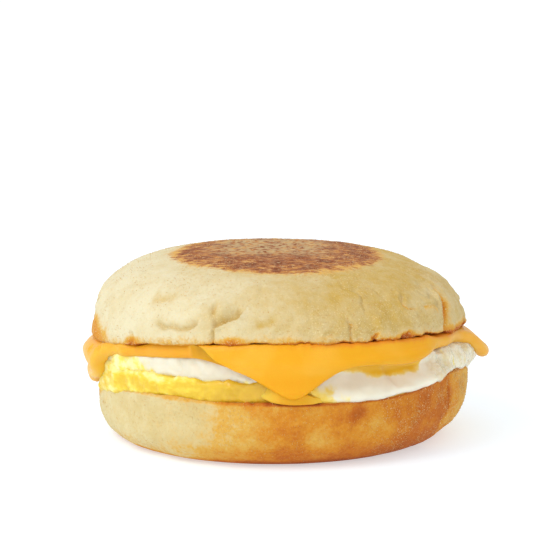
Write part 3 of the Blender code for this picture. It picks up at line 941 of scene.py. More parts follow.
@dataclass
class Crown:
    """The upper half of the muffin: a domed crust, browned on top, torn and toasted at the rim."""

    form: SandwichForm
    columns: int = 720
    dome_rings: int = 108
    edge_rings: int = 14
    under_rings: int = 12
    widest: float = 26.0 * MM
    power: float = 3.0
    power_left: float = 0.28
    edge: float = 0.8 * MM
    seat: float = 0.75 * MM
    short_right: float = 0.8 * MM
    lip: float = 0.9 * MM
    disc_radius: float = 29.3 * MM
    disc_narrow: float = 1.8 * MM
    browned: float = 0.51
    most_toasted: float = 0.74
    rim_crumbs: tuple[Lumps, ...] = (Lumps(0.5 * MM, 5 * MM, 11), Lumps(0.35 * MM, 1.7 * MM, 12))
    lumps: tuple[Lumps, ...] = (Lumps(0.5 * MM, 13 * MM, 21), Lumps(0.3 * MM, 6 * MM, 22))
    crumbs: tuple[Lumps, ...] = (Lumps(0.26 * MM, 3.2 * MM, 23, 3),)
    creases: tuple[Crease, ...] = (
        Crease(
            ((-131, 34.8), (-127, 34.1), (-124.4, 34.6), (-121.9, 34.2))
            + ((-118.8, 34.6), (-117.2, 35.4), (-115.8, 36.9)),
            1.0 * MM,
            1.0 * MM,
        ),
        Crease(
            ((-111.4, 35.5), (-109.2, 36.2), (-107.2, 36.9), (-103.1, 38.4), (-101.8, 39.8)),
            1.9 * MM,
            1.8 * MM,
        ),
        Crease(((-110.4, 38.0), (-111.6, 39.2), (-111.2, 41.0)), 0.7 * MM, 0.8 * MM, 0.4 * MM),
        Crease(
            ((-110.3, 31.0), (-110.7, 33.8), (-110.4, 35.2), (-111.2, 36.0)),
            0.9 * MM,
            0.35 * MM,
            0.35 * MM,
        ),
        Crease(
            ((-68.7, 31.6), (-68.8, 33.4), (-68.6, 34.8), (-67.4, 35.7), (-69.3, 37.3)),
            0.9 * MM,
            0.5 * MM,
        ),
        Crease(((-59.9, 31.2), (-61.4, 32.5), (-59.3, 33.7)), 0.7 * MM, 0.6 * MM, toasted=0.2),
        Crease(
            ((-42.7, 41.2), (-45.4, 39.9), (-46.1, 38.7), (-45.0, 37.9), (-41.1, 37.4)),
            0.6 * MM,
            0.5 * MM,
        ),
        Crease(
            ((-22.5, 40.0), (-24.3, 38.5), (-25.9, 37.2), (-27.4, 35.7))
            + ((-28.4, 34.4), (-28.6, 32.9), (-29.0, 31.4)),
            1.7 * MM,
            2.4 * MM,
            0.4 * MM,
            0.35,
            2.5 * MM,
            0.4,
        ),
        Crease(((-31.7, 35.0), (-31.9, 37.0), (-34.2, 37.6), (-38.5, 37.3)), 0.35 * MM, 0.9 * MM),
        Crease(((-136.9, 39.7), (-131.8, 40.3), (-126.9, 40.9)), 0.25 * MM, 1.4 * MM, 0.7 * MM),
        Crease(((-77.6, 32.6), (-76.0, 33.8), (-73.4, 33.9)), 0.4 * MM, 0.8 * MM),
        Crease(((-47.0, 32.8), (-50.4, 32.4), (-52.4, 31.0)), 0.7 * MM, 1.3 * MM, 0.35 * MM, 0.4),
        Crease(((-143.0, 27.6), (-141.0, 30.2), (-142.0, 32.2)), 0.6 * MM, 0.7 * MM),
        Crease(((-98.0, 36.0), (-94.0, 36.6), (-91.5, 38.2)), 0.35 * MM, 1.2 * MM, 0.6 * MM),
        Crease(((18, 30.0), (22, 32.5), (20, 35.0), (25, 37.0)), 1.0 * MM, 0.6 * MM),
        Crease(((48, 32.6), (55, 32.0), (62, 31.5), (70, 33.2)), 1.1 * MM, 1.3 * MM),
        Crease(((84, 28.0), (82, 31.0), (86, 33.5)), 0.9 * MM, 0.4 * MM),
        Crease(((108, 34.0), (112, 33.4), (118, 35.0), (122, 38.0)), 1.3 * MM, 1.5 * MM),
        Crease(((150, 28.0), (153, 31.0), (160, 32.0)), 0.9 * MM, 0.6 * MM),
        Crease(((170, 35.0), (-178, 34.2), (-172, 35.4)), 0.6 * MM, 1.2 * MM),
    )
    puffs: tuple[Puff, ...] = (
        Puff(-108.4, 39.6, 1.7 * MM, 0.75 * MM),
        Puff(-111.9, 40.0, 0.8 * MM, -0.5 * MM),
        Puff(-103.5, 36.0, 2.2 * MM, 0.35 * MM),
        Puff(-123.9, 42.4, 1.6 * MM, 0.4 * MM),
        Puff(-116.8, 38.6, 2.2 * MM, 0.3 * MM),
        Puff(-97.1, 43.7, 0.8 * MM, -0.4 * MM),
        Puff(-64.4, 33.2, 2.0 * MM, 0.4 * MM),
        Puff(-59.6, 37.0, 1.6 * MM, 0.3 * MM),
        Puff(-56.4, 33.1, 2.6 * MM, 0.75 * MM),
        Puff(-43.6, 32.6, 2.6 * MM, 0.4 * MM),
        Puff(-76.4, 32.9, 2.6 * MM, 0.4 * MM),
        Puff(-52.8, 37.4, 1.8 * MM, -0.4 * MM),
        Puff(-59.0, 36.1, 1.8 * MM, 0.4 * MM),
        Puff(-31.6, 37.4, 2.0 * MM, 0.6 * MM),
        Puff(-35.5, 35.2, 2.4 * MM, 0.4 * MM),
        Puff(-26.0, 40.0, 0.5 * MM, -0.5 * MM),
        Puff(35, 34.0, 2.6 * MM, 0.5 * MM),
        Puff(76, 37.0, 2.2 * MM, 0.45 * MM),
        Puff(118, 33.0, 2.0 * MM, 0.45 * MM),
        Puff(140, 36.0, 2.8 * MM, 0.4 * MM),
    )

    def seating(self, azimuth: Array) -> Array:
        """How far the rim is pressed into the cheese at each azimuth, which is hardly at all in front."""
        risen = 0.3 * band(azimuth, -129, -94, 7) - 0.4 * band(azimuth, -80, -46, 6)
        return self.seat * (1 - band(azimuth, -134, -44, 9)) - risen * MM

    def rim_height(self, azimuth: Array) -> Array:
        """Height of the ragged rim: the torn face's edge, raised by uneven crumbs."""
        x, y = on_circle(self.form.muffin_radius(azimuth), azimuth)
        places = flat_points(x, y)
        torn = 0.3 + 0.7 * (1 - band(azimuth, -165, -92, 6))
        crumbs = sum(np.abs(layer.relief(places)) for layer in self.rim_crumbs)
        notch = 0.4 * MM * swell(azimuth, -82, 3.2) + 0.15 * MM * swell(azimuth, -49.5, 2.0)
        notch += 1.0 * MM * swell(azimuth, -172, 11) + 1.3 * MM * swell(azimuth, -9, 8)
        return self.form.crown_face(x, y) - self.seating(azimuth) + crumbs * torn + notch

    def bare_grid(self) -> tuple[Array, Array]:
        """Work out the smooth dome, its rounded rim and its underside.

        The dome is a superellipse: radius R sin(t)^(2/n) and height w + (H - w) cos(t)^(2/n),
        cut off where it meets the rim. The rim is a quarter round. The torn face closes it below.

        Returns:
            The points by ring and column, and each ring's share of the radius along the top.
        """
        azimuth = np.linspace(-180, 180, self.columns, endpoint=False)
        radius = self.form.muffin_radius(azimuth) - self.short_right * swell(azimuth, 0, 45)
        power = self.power - self.power_left * np.cos(np.radians(azimuth))
        dome = self.form.height - self.widest
        rim = self.rim_height(azimuth) + self.edge
        reached = np.clip((rim - self.widest) / dome, 1e-6, 1)
        last = np.arccos(reached ** (power / 2))
        turn = np.linspace(0, math.pi / 2, 2000)
        profile = np.stack(
            [
                self.form.radius * np.sin(turn) ** (2 / self.power),
                dome * np.cos(turn) ** (2 / self.power),
            ],
            axis=-1,
        )
        share = even_steps(profile, self.dome_rings + 1)[1:, None]
        angle = share * last
        out = radius * np.sin(angle) ** (2 / power)
        up = self.widest + dome * np.cos(angle) ** (2 / power)
        lip = self.lip * swell(azimuth, -170, 17)
        out += lip * ramp(up, rim + 6 * MM, rim - 1 * MM)
        quarter = np.linspace(0, math.pi / 2, self.edge_rings + 1)[1:, None]
        edge_out = out[-1] - self.edge * (1 - np.cos(quarter))
        edge_up = up[-1] - self.edge * np.sin(quarter)
        inward = np.linspace(1, 0, self.under_rings + 2)[1:-1, None] ** 0.8
        under_out = edge_out[-1] * inward
        x, y = on_circle(under_out, azimuth)
        places = flat_points(x, y)
        nooks = 1.1 * MM * np.abs(smooth_noise(places, 5 * MM, 13)) * ramp(inward, 0.93, 0.84)
        edge_share = ramp(inward, 0.96, 1.0)
        under_up = self.form.crown_face(x, y) + nooks - self.seating(azimuth) * ramp(inward, 0.82, 0.9)
        under_up = under_up * (1 - edge_share) + edge_up[-1] * edge_share
        outs = np.concatenate([out, edge_out, under_out])
        ups = np.concatenate([up, edge_up, under_up])
        x, y = on_circle(outs, azimuth)
        return np.stack([x, y, ups], axis=-1), outs / self.form.radius

    def skin(self) -> Skin:
        """Carve the crust's lumps, creases, pores and crumbs, and paint where it is toasted, with painted
        shade in its creases and on its right side and painted light at its far right end.

        Returns:
            The crown's closed skin.
        """
        grid, share = self.bare_grid()
        azimuth = azimuth_of(grid[..., 0], grid[..., 1])
        height = grid[..., 2]
        topside = np.zeros(len(grid))
        topside[: self.dome_rings + self.edge_rings] = 1
        topside = topside[:, None] * np.ones_like(height)
        side = ramp(share, 0.62, 0.86) * topside
        above_rim = height - self.rim_height(azimuth)
        near_rim = (1 - ramp(above_rim, 1.5 * MM, 8 * MM)) * topside
        push = lumpy(grid, self.lumps) * (0.25 + 0.75 * side)
        right = ramp(grid[..., 0], 5 * MM, 30 * MM)
        push += lumpy(grid, self.crumbs) * (0.25 + 0.75 * near_rim) * side * (1 + 0.7 * right)
        push += 0.22 * MM * rough_noise(grid * (1, 1, 0.5), 1.6 * MM, 35, 2) * side * (0.35 + 0.65 * right)
        puff = np.abs(rough_noise(grid, 5.5 * MM, 24, 2))
        folds = (1 - ramp(puff, 0.0, 0.16)) * ramp(smooth_noise(grid, 17 * MM, 25), 0.05, 0.5)
        push -= 0.45 * MM * folds * side * (1 + 0.6 * right)
        warped = azimuth + 0.45 * rough_noise(grid, 2.4 * MM, 26, 2)
        raised = height + 0.3 * MM * rough_noise(grid, 1.8 * MM, 27, 2)
        crevice = np.zeros_like(height)
        # Toast and painted shade inside the creases that carry toast.
        scorch_and_shade = np.zeros_like(height)
        for crease in self.creases:
            relief, inside = crease.relief(warped, raised, self.form.radius)
            push += relief * side
            crevice = np.maximum(crevice, inside * side)
            scorch_and_shade = np.maximum(scorch_and_shade, crease.toasted * side * inside**0.4)
        for swelling in self.puffs:
            push += swelling.relief(azimuth, height, self.form.radius) * side
        nearest = cell_distance(grid, 1.5 * MM, 28)
        pores = (1 - ramp(nearest, 0.1, 0.45)) * ramp(smooth_noise(grid, 6 * MM, 29), -0.1, 0.5)
        push -= 0.14 * MM * pores * (0.4 + 0.6 * side) * topside
        push += 0.07 * MM * smooth_noise(grid, 1.05 * MM, 30) * topside
        cosine = np.cos(np.radians(azimuth))
        narrow = self.disc_narrow * cosine**2 * (1 + 0.75 * cosine)
        disc_edge = self.disc_radius - narrow + 1.4 * MM * rough_noise(grid, 6 * MM, 31)
        disc = ramp(disc_edge - share * self.form.radius, -2.8 * MM, 5.2 * MM) * topside
        push += 0.16 * MM * rough_noise(grid, 1.5 * MM, 32, 2) * disc
        points = grid + wrapped_normals(grid) * push[..., None]
        broad = rough_noise(grid, 9 * MM, 33)
        ragged = above_rim + 0.5 * MM * broad
        right_line = band(azimuth, -84, 4, 6)
        line = (1 - ramp(ragged, 0.1 * MM, 0.8 * MM + 0.5 * MM * right_line)) * (0.5 + 0.14 * right_line)
        smoke = 0.26 * (1 - ramp(above_rim + 1.2 * MM * broad, 0.3 * MM, 3.2 * MM))
        left_lip = swell(azimuth, -174, 16) * (1 - ramp(above_rim, 0.5 * MM, 8.0 * MM)) * (0.85 + 0.6 * broad)
        spots = swell(azimuth, -141.5, 3.5) * (1 - ramp(above_rim, 0.5 * MM, 4.6 * MM))
        smudges = swell(azimuth, -105, 3.5) + swell(azimuth, -48.5, 3.0) + swell(azimuth, -18, 7)
        smudges = smudges * (1 - ramp(above_rim, 0.4 * MM, 2.6 * MM))
        toast = np.maximum.reduce([line, smoke, np.minimum(left_lip, 0.46)]) + 0.36 * spots + 0.34 * smudges
        # Painted shade, with the crumb's toast, deepens the colour in the creases.
        crease_toast_and_shade = crevice * (0.1 + 0.26 * right) * (0.8 + 0.5 * broad)
        toast = np.minimum(toast, self.most_toasted) + crease_toast_and_shade + scorch_and_shade
        toast = np.where(topside > 0, toast, 0.45 + 0.25 * broad)
        # Painted light lifts the far right end, which faces away from the light.
        painted_light_far_right = 1 - 0.36 * ramp(grid[..., 0], 27 * MM, 42 * MM)
        # Tan towards the right: partly the crust's own tan and partly painted shade on the side away from the
        # light, with painted shade in the creases.
        tan_and_shade = 0.06 + 0.86 * ramp(grid[..., 0], -40 * MM, 26 * MM) * painted_light_far_right + 0.12 * broad + 0.5 * crevice
        across = np.abs(grid[..., 0] + 3 * MM) + 2 * MM * smooth_noise(grid, 7 * MM, 34)
        back = ramp(grid[..., 1] + 2 * MM * broad, -15 * MM, -3 * MM) * (1 - ramp(across, 9 * MM, 19 * MM))
        paint = {
            "toast": np.clip(toast, 0, 1),
            "tan_and_shade": np.clip(tan_and_shade, 0, 1),
            "griddle": disc * (self.browned - 0.08 * back + 0.07 * ramp(grid[..., 0], 8 * MM, 24 * MM)),
            "ashen": 0.8 * disc * back,
            "dust": (0.35 + 0.45 * ramp(broad, -0.4, 0.5)) * topside * (1 - 0.3 * disc),
        }
        return Skin.from_rings(points, paint)

    def build(self) -> bpy.types.Object:
        """Make the crown and put it in place of its solid."""
        crown = piece("crown_crust", self.skin(), CrustFinish("crown_crust").material())
        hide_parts(Layer.CROWN.value)
        return crown


@dataclass
class Heel:
    """The lower half of the muffin: cream at the left, toasted golden brown at the right."""

    form: SandwichForm
    columns: int = 720
    face_rings: int = 14
    rim_rings: int = 10
    wall_rings: int = 34
    edge_rings: int = 48
    foot_rings: int = 20
    rim: float = 0.7 * MM
    browning: tuple[tuple[float, float], ...] = (
        (-180, 0.02),
        (-130, 0.05),
        (-115, 0.14),
        (-107, 0.28),
        (-99, 0.36),
        (-92, 0.43),
        (-84, 0.50),
        (-70, 0.54),
        (-58, 0.58),
        (-45, 0.66),
        (-31, 0.66),
        (-27, 0.42),
        (-14, 0.34),
        (5, 0.22),
        (40, 0.34),
        (80, 0.16),
        (125, 0.40),
        (160, 0.12),
        (180, 0.02),
    )
    widest: float = 11.0 * MM
    widest_right: float = 1.5 * MM
    power: float = 2.0
    power_left: float = 0.2
    short_left: float = 0.9 * MM
    foot_radius: float = 38.0 * MM
    foot_centre: float = -1.5 * MM
    cream: Colour = seen(241, 226, 176)
    crumbs: tuple[Lumps, ...] = (Lumps(0.22 * MM, 2.6 * MM, 41, 3),)
    lumps: tuple[Lumps, ...] = (
        Lumps(0.5 * MM, 14 * MM, 51),
        Lumps(0.22 * MM, 5 * MM, 52),
        Lumps(0.14 * MM, 2.6 * MM, 53, 3),
    )
    pale_spots: tuple[Puff, ...] = (Puff(-62.0, 9.4, 4.0 * MM, 0.17), Puff(-76.5, 6.8, 3.6 * MM, 0.14))
    dark_spots: tuple[Puff, ...] = (
        Puff(-67.0, 14.0, 2.2 * MM, 0.30),
        Puff(-88.0, 11.0, 3.4 * MM, 0.12),
        Puff(-99.0, 16.5, 2.4 * MM, 0.16),
        Puff(-29.0, 12.0, 3.2 * MM, 0.16),
    )
    creases: tuple[Crease, ...] = (
        Crease(((-28.5, 18.0), (-27.6, 14.0), (-29.0, 9.0), (-31, 6.0)), 0.5 * MM, 0.8 * MM),
        Crease(((-99.5, 18.5), (-98.6, 16.5)), 0.4 * MM, 0.7 * MM),
        Crease(((24, 8), (30, 9.5), (38, 9)), 0.7 * MM, 0.7 * MM),
        Crease(((95, 12), (99, 9), (97, 6)), 0.7 * MM, 0.6 * MM),
        Crease(((150, 10), (156, 11), (163, 10)), 0.6 * MM, 0.6 * MM),
    )

    def bare_grid(self) -> tuple[Array, Array]:
        """Work out the smooth heel: torn face, rounded rim, wall, lower edge and foot.

        The lower edge is a superellipse quarter that runs from the widest place to the foot's
        circle: it goes out by cos(t)^(2/n) and up by 1 - sin(t)^(2/n).

        Returns:
            The points by ring and column, and for each ring which part of the heel it is on.
        """
        azimuth = np.linspace(-180, 180, self.columns, endpoint=False)
        cosine = np.cos(np.radians(azimuth))
        radius = self.form.muffin_radius(azimuth) - self.short_left * swell(azimuth, 180, 60)
        widest = self.widest + self.widest_right * cosine
        power = self.power - self.power_left * cosine
        rim_x, rim_y = on_circle(radius, azimuth)
        crumbs = lumpy(flat_points(rim_x, rim_y), self.crumbs)
        rim_up = self.form.heel_face(rim_x, rim_y) + crumbs
        outward = (np.linspace(0, 1, self.face_rings + 1)[1:, None]) ** 0.7
        face_out = (radius - self.rim) * outward
        x, y = on_circle(face_out, azimuth)
        places = flat_points(x, y)
        nooks = 0.9 * MM * np.abs(smooth_noise(places, 4.5 * MM, 42)) * (1 - ramp(outward, 0.9, 1.0))
        blend = ramp(outward, 0.93, 1.0)
        face_up = (self.form.heel_face(x, y) - nooks) * (1 - blend) + rim_up * blend
        quarter = np.linspace(0, math.pi / 2, self.rim_rings + 1)[1:, None]
        rim_out = radius - self.rim * (1 - np.sin(quarter))
        rim_down = rim_up - self.rim * (1 - np.cos(quarter))
        wall = np.linspace(0, 1, self.wall_rings + 1)[1:, None]
        wall_up = rim_down[-1] * (1 - wall) + widest * wall
        wall_out = radius * np.ones_like(wall)
        turn = np.linspace(0, math.pi / 2, 800)
        profile = np.stack([10 * np.cos(turn), 11 * (1 - np.sin(turn))], axis=-1)
        angle = even_steps(profile, self.edge_rings + 1)[1:, None] * math.pi / 2
        out = np.clip(np.cos(angle), 0, 1) ** (2 / power)
        edge_up = widest * (1 - np.sin(angle) ** (2 / power))
        foot_x, foot_y = on_circle(self.foot_radius, azimuth)
        edge_x = foot_x + self.foot_centre + (rim_x - foot_x - self.foot_centre) * out
        edge_y = foot_y + (rim_y - foot_y) * out
        inward = np.linspace(1, 0, self.foot_rings + 2)[1:-1, None]
        foot = [(foot_x * inward + self.foot_centre), foot_y * inward, np.zeros_like(foot_x) * inward]
        top_x, top_y = on_circle(np.concatenate([face_out, rim_out, wall_out]), azimuth)
        grid = np.stack(
            [
                np.concatenate([top_x, edge_x, foot[0]]),
                np.concatenate([top_y, edge_y, foot[1]]),
                np.concatenate([face_up, rim_down, wall_up, edge_up, foot[2]]),
            ],
            axis=-1,
        )
        counts = (self.face_rings, self.rim_rings + self.wall_rings + self.edge_rings, self.foot_rings)
        return grid, np.repeat([0, 1, 2], counts)[:, None] * np.ones(self.columns)

    def skin(self) -> Skin:
        """Carve the crust and paint where it is toasted, with painted shade in its creases and in the gap
        under the melted film.

        Returns:
            The heel's closed skin.
        """
        grid, part = self.bare_grid()
        azimuth = azimuth_of(grid[..., 0], grid[..., 1])
        height = grid[..., 2]
        wall = (part == 1) * ramp(height, 0.0, 2.0 * MM)
        push = lumpy(grid, self.lumps)
        crevice = np.zeros_like(height)
        warped = rough_noise(grid, 2.4 * MM, 54, 2)
        for crease in self.creases:
            relief, inside = crease.relief(azimuth + 0.8 * warped, height, self.form.radius)
            push += relief
            crevice = np.maximum(crevice, inside)
        nearest = cell_distance(grid, 1.4 * MM, 55)
        pores = (1 - ramp(nearest, 0.1, 0.45)) * ramp(smooth_noise(grid, 6 * MM, 56), -0.2, 0.5)
        push -= 0.13 * MM * pores
        push += 0.06 * MM * smooth_noise(grid, 1.0 * MM, 57)
        points = grid + wrapped_normals(grid) * (push * wall)[..., None]
        broad = rough_noise(grid, 10 * MM, 58)
        patch = rough_noise(grid, 4.5 * MM, 59)
        places, levels = np.array(self.browning).T
        drift = azimuth + 5 * rough_noise(grid, 7 * MM, 60)
        toast = np.interp(drift, places, levels) + (0.07 * broad + 0.07 * patch) * ramp(azimuth, -125, -85)
        pale = sum(spot.relief(azimuth, height, self.form.radius) for spot in self.pale_spots)
        dark = sum(spot.relief(azimuth, height, self.form.radius) for spot in self.dark_spots)
        scorch_and_shade = 1 - ramp(height + 0.7 * MM * patch, 0.4 * MM, 2.0 * MM)
        warm_foot = 0.14 * (1 - ramp(height, 2 * MM, 8 * MM))
        # The creases' share of toast is painted shade.
        toast = toast + dark - pale + 0.34 * scorch_and_shade + warm_foot + 0.15 * crevice
        below = self.form.heel_face(grid[..., 0], grid[..., 1]) - height
        # Toast along the rim, with painted shade in the gap under the melted film from azimuth -94 to -79.
        rim_toast_and_gap_shade = 0.2 + 0.12 * patch + 0.35 * band(azimuth, -94, -79, 2)
        toast += rim_toast_and_gap_shade * (1 - ramp(below, 0.2 * MM, 0.9 * MM))
        toast += 0.4 * swell(azimuth, -173, 7) * (1 - ramp(below, 0.6 * MM, 3.6 * MM))
        away = np.hypot(grid[..., 0] - self.foot_centre, grid[..., 1])
        griddle = (part == 2) * (0.55 + 0.1 * broad) * ramp(away, self.foot_radius, self.foot_radius - 5 * MM)
        toast = np.where(part == 0, 0.2 + 0.2 * broad, toast)
        paint = {
            "toast": np.clip(toast, 0, 1),
            "tan_and_shade": np.clip(0.30 + 0.35 * ramp(azimuth, -150, -100) + 0.15 * broad, 0, 1),
            "griddle": griddle,
            "ashen": np.zeros_like(height),
            "dust": 0.12 + 0.6 * band(azimuth, -48, -12, 16) * ramp(patch, -0.4, 0.4),
        }
        return Skin.from_rings(points, paint)

    def build(self) -> bpy.types.Object:
        """Make the heel and put it in place of its solid."""
        finish = CrustFinish("heel_crust", cream=self.cream)
        heel = piece("heel_crust", self.skin(), finish.material())
        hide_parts(Layer.HEEL.value)
        return heel


@dataclass(frozen=True)
class Corner:
    """How the cheese turns down towards one corner."""

    azimuth: float
    angle: float
    start: float
    radius: float


@dataclass(frozen=True)
class Bubble:
    """A burst bubble in the cheese: its centre in mm, and its radius and depth."""

    centre: tuple[float, float, float]
    radius: float
    deep: float

    def dent(self, points: Array) -> tuple[Array, Array]:
        """Work out the dent that the bubble leaves in a face of the slice.

        At d radii from the centre, measured shorter upright, it is e^-d^2 deep inside a low rim
        of e^-((d - 1.7) / 0.5)^2.

        Args:
            points: the face's points.

        Returns:
            The dent's depth, and how far inside the bubble each point is, 0 to 1.
        """
        away = np.linalg.norm((points - np.array(self.centre) * MM) * (1, 1, 0.7), axis=-1) / self.radius
        inside = np.exp(-(away**2))
        return self.deep * (inside - 0.3 * np.exp(-(((away - 1.7) / 0.5) ** 2))), inside


@dataclass(frozen=True)
class Slump:
    """How far one side of the cheese has moved outwards, as a share of half its length."""

    most: float
    centre: float
    spread: float

    def along(self, place: Array) -> Array:
        """The share at a place from -1 to 1 along the side: a hump that is nothing at the corners."""
        return self.most * np.exp(-(((place - self.centre) / self.spread) ** 2)) * (1 - place**4)


@dataclass
class Cheese:
    """The melted square slice, draped over the egg and sealed to the crown's rim."""

    form: SandwichForm
    crown: Crown
    lines: int = 200
    side: float = 87.0 * MM
    thickness: float = 2.8 * MM
    turn: float = 5.0
    centre: tuple[float, float] = (-1.2 * MM, 0.4 * MM)
    corner_power: float = 7.0
    edge: float = 1.3 * MM
    corners: tuple[Corner, ...] = (
        Corner(-85, 84, 44.6 * MM, 4.2 * MM),
        Corner(5, 50, 44.8 * MM, 7.0 * MM),
        Corner(95, 58, 44.5 * MM, 5.0 * MM),
        Corner(185, 96, 47.5 * MM, 3.1 * MM),
    )
    front_right: Slump = Slump(0.20, -0.15, 0.385)
    right_web: Slump = Slump(0.04, 0.27, 0.14)
    front_left: Slump = Slump(0.08, -0.20, 0.50)
    left_web: Slump = Slump(0.12, 0.66, 0.17)
    left_droop: Slump = Slump(0.03, 0.29, 0.05)
    left_lift: Slump = Slump(-0.025, -0.25, 0.2)
    back_right: Slump = Slump(0.06, 0.05, 0.60)
    back_left: Slump = Slump(0.05, 0.10, 0.60)
    blob: float = 2.2 * MM
    seal: float = 0.12 * MM
    waves: tuple[Lumps, ...] = (Lumps(0.35 * MM, 8 * MM, 61), Lumps(0.12 * MM, 3 * MM, 62))
    bubbles: tuple[Bubble, ...] = (
        Bubble((-48.6, -15.2, 24.8), 0.75 * MM, 0.8 * MM),
        Bubble((-46.1, -20.4, 25.5), 0.75 * MM, 0.8 * MM),
    )

    def bend(self, azimuth: Array) -> tuple[Array, Array, Array]:
        """Find the slice's bend at an azimuth, between those of the two nearest corners.

        Each corner counts by the square of the cosine of the turn to it.

        Args:
            azimuth: in degrees.

        Returns:
            The bend's angle in radians, the reach where it starts, and its radius.
        """
        shares = [
            np.maximum(0, np.cos(np.radians(turn_between(azimuth, corner.azimuth)))) ** 2
            for corner in self.corners
        ]
        total = sum(shares)
        angle = sum(share * corner.angle for share, corner in zip(shares, self.corners)) / total
        start = sum(share * corner.start for share, corner in zip(shares, self.corners)) / total
        radius = sum(share * corner.radius for share, corner in zip(shares, self.corners)) / total
        return np.radians(angle), start, radius

    def middle(self, x: Array, y: Array) -> Array:
        """Height of the slice's middle where it lies flat under the crown."""
        return self.form.crown_face(x, y) - self.form.air - self.thickness / 2

    def underside(self, x: Array, y: Array) -> Array:
        """Height of the slice's lower face over a place.

        Past the start of the bend it falls along an arc of the inner radius, then straight on.

        Args:
            x, y: the places asked for.

        Returns:
            The height at each place.
        """
        azimuth = azimuth_of(x, y)
        angle, start, radius = self.bend(azimuth)
        reach = np.hypot(x, y)
        top = self.middle(*on_circle(np.minimum(reach, start), azimuth)) - self.thickness / 2
        inner = radius - self.thickness / 2
        past = np.maximum(reach - start, 0)
        straight = np.maximum(past - inner * np.sin(angle), 0)
        arc = np.minimum(past, inner * np.sin(angle))
        fall = inner - np.sqrt(np.maximum(inner**2 - arc**2, 0)) + straight * np.tan(np.minimum(angle, 1.4))
        return top - fall

    def draped(self, u: Array, v: Array) -> Array:
        """Lay the flat slice over the egg.

        A point at a reach past the start of the bend goes round an arc to the bend's full angle,
        and straight on from there.

        Args:
            u, v: places on the slice, from -1 to 1 along its sides.

        Returns:
            The points of the slice's middle.
        """
        half = self.side / 2
        power = 2 * self.corner_power
        away = np.maximum(np.abs(u), np.abs(v))
        soft = away / np.maximum((np.abs(u) ** power + np.abs(v) ** power) ** (1 / power), 1e-9)
        u, v = u * soft, v * soft
        left_side = sum(s.along(v) for s in (self.front_left, self.left_web, self.left_droop, self.left_lift))
        left_right = np.where(u < 0, left_side, self.back_right.along(v))
        right_side = self.front_right.along(u) + self.right_web.along(u)
        front_back = np.where(v < 0, right_side, self.back_left.along(u))
        side_u, side_v = half * u * (1 + left_right), half * v * (1 + front_back)
        turn = math.radians(45 + self.turn)
        x = side_u * math.cos(turn) - side_v * math.sin(turn) + self.centre[0]
        y = side_u * math.sin(turn) + side_v * math.cos(turn) + self.centre[1]
        azimuth = azimuth_of(x, y)
        angle, start, radius = self.bend(azimuth)
        reach = np.hypot(x, y)
        past = np.maximum(reach - start, 0)
        bent = np.minimum(past / radius, angle)
        straight = np.maximum(past - radius * angle, 0)
        out = np.where(past > 0, start + radius * np.sin(bent) + straight * np.cos(angle), reach)
        fall = radius * (1 - np.cos(bent)) + straight * np.sin(angle)
        height = self.middle(*on_circle(np.minimum(reach, start), azimuth)) - fall
        return np.stack([*on_circle(out, azimuth), height], axis=-1)

    def skin(self) -> Skin:
        """Give the draped slice its thickness, soft edge, waves and bubbles.

        At a distance d from its edge the slice has sqrt(1 - (1 - d/e)^2) of its full thickness.

        Returns:
            The slice's closed skin.
        """
        even = np.linspace(-1, 1, self.lines)
        crowded = np.sin(even * 1.35) / math.sin(1.35)
        u, v = np.meshgrid(*[0.5 * (even + crowded)] * 2, indexing="ij")
        middle = self.draped(u, v)
        normal = grid_normals(middle)
        from_edge = np.minimum(1 - np.abs(u), 1 - np.abs(v)) * self.side / 2
        inset = np.clip(from_edge / self.edge, 0, 1)
        rounded = np.sqrt(1 - (1 - inset) ** 2)
        azimuth = azimuth_of(middle[..., 0], middle[..., 1])
        reach = np.hypot(middle[..., 0], middle[..., 1])
        drop = self.middle(*on_circle(np.minimum(reach, 46 * MM), azimuth)) - middle[..., 2]
        hanging = ramp(drop, 0.2 * MM, 3.0 * MM)
        front = swell(azimuth, -85, 38)
        left = swell(azimuth, 185, 16) * hanging
        height = middle[..., 2]
        lobes = -0.2 * MM - 1.7 * MM * ramp(height, 22.5 * MM, 18.0 * MM)
        lobes -= 0.5 * MM * np.exp(-(((height - 18.3 * MM) / (1.1 * MM)) ** 2))
        thick = swell(azimuth, 187, 22) * hanging
        swollen = 0.3 * MM * swell(azimuth, 188, 13) * ramp(reach, 43 * MM, 46.5 * MM)
        thin = 1 - 0.4 * front * ramp(from_edge, 9 * MM, 0.0)
        bead = 1 + 0.25 * np.exp(-(((from_edge - 1.6 * MM) / (1.3 * MM)) ** 2)) * (1 - front)
        half = self.thickness / 2 * rounded * thin * bead
        middle = middle + normal * (lumpy(middle, self.waves) * hanging + lobes * left + swollen)[..., None]
        upper = middle + normal * half[..., None]
        lower = middle - normal * (half + self.blob * thick * rounded)[..., None]
        past_rim = np.hypot(upper[..., 0], upper[..., 1]) - self.form.muffin_radius(azimuth)
        under_rim = ramp(past_rim, -3.5 * MM, -1.8 * MM)
        below_rim = self.crown.rim_height(azimuth) - upper[..., 2]
        sealed = under_rim * ramp(past_rim, 1.0 * MM, -0.7 * MM) * band(azimuth, -138, -40, 9)
        upper[..., 2] += np.maximum(below_rim - self.seal, 0) * sealed
        below_rim = self.crown.rim_height(azimuth) - upper[..., 2]
        pits = np.zeros_like(height)
        for bubble in self.bubbles:
            over, over_pit = bubble.dent(upper)
            under, under_pit = bubble.dent(lower)
            upper = upper - normal * over[..., None]
            lower = lower + normal * under[..., None]
            pits = np.maximum.reduce([pits, over_pit, under_pit])
        # Painted shade: deeper orange low on the front flap, which faces down and away from the light.
        lowest = ramp(middle[..., 2], 25.5 * MM, 22.5 * MM) * front
        deep = 0.35 + 0.55 * lowest + 0.15 * swell(azimuth, -40, 25) - 0.3 * swell(azimuth, 182, 18)
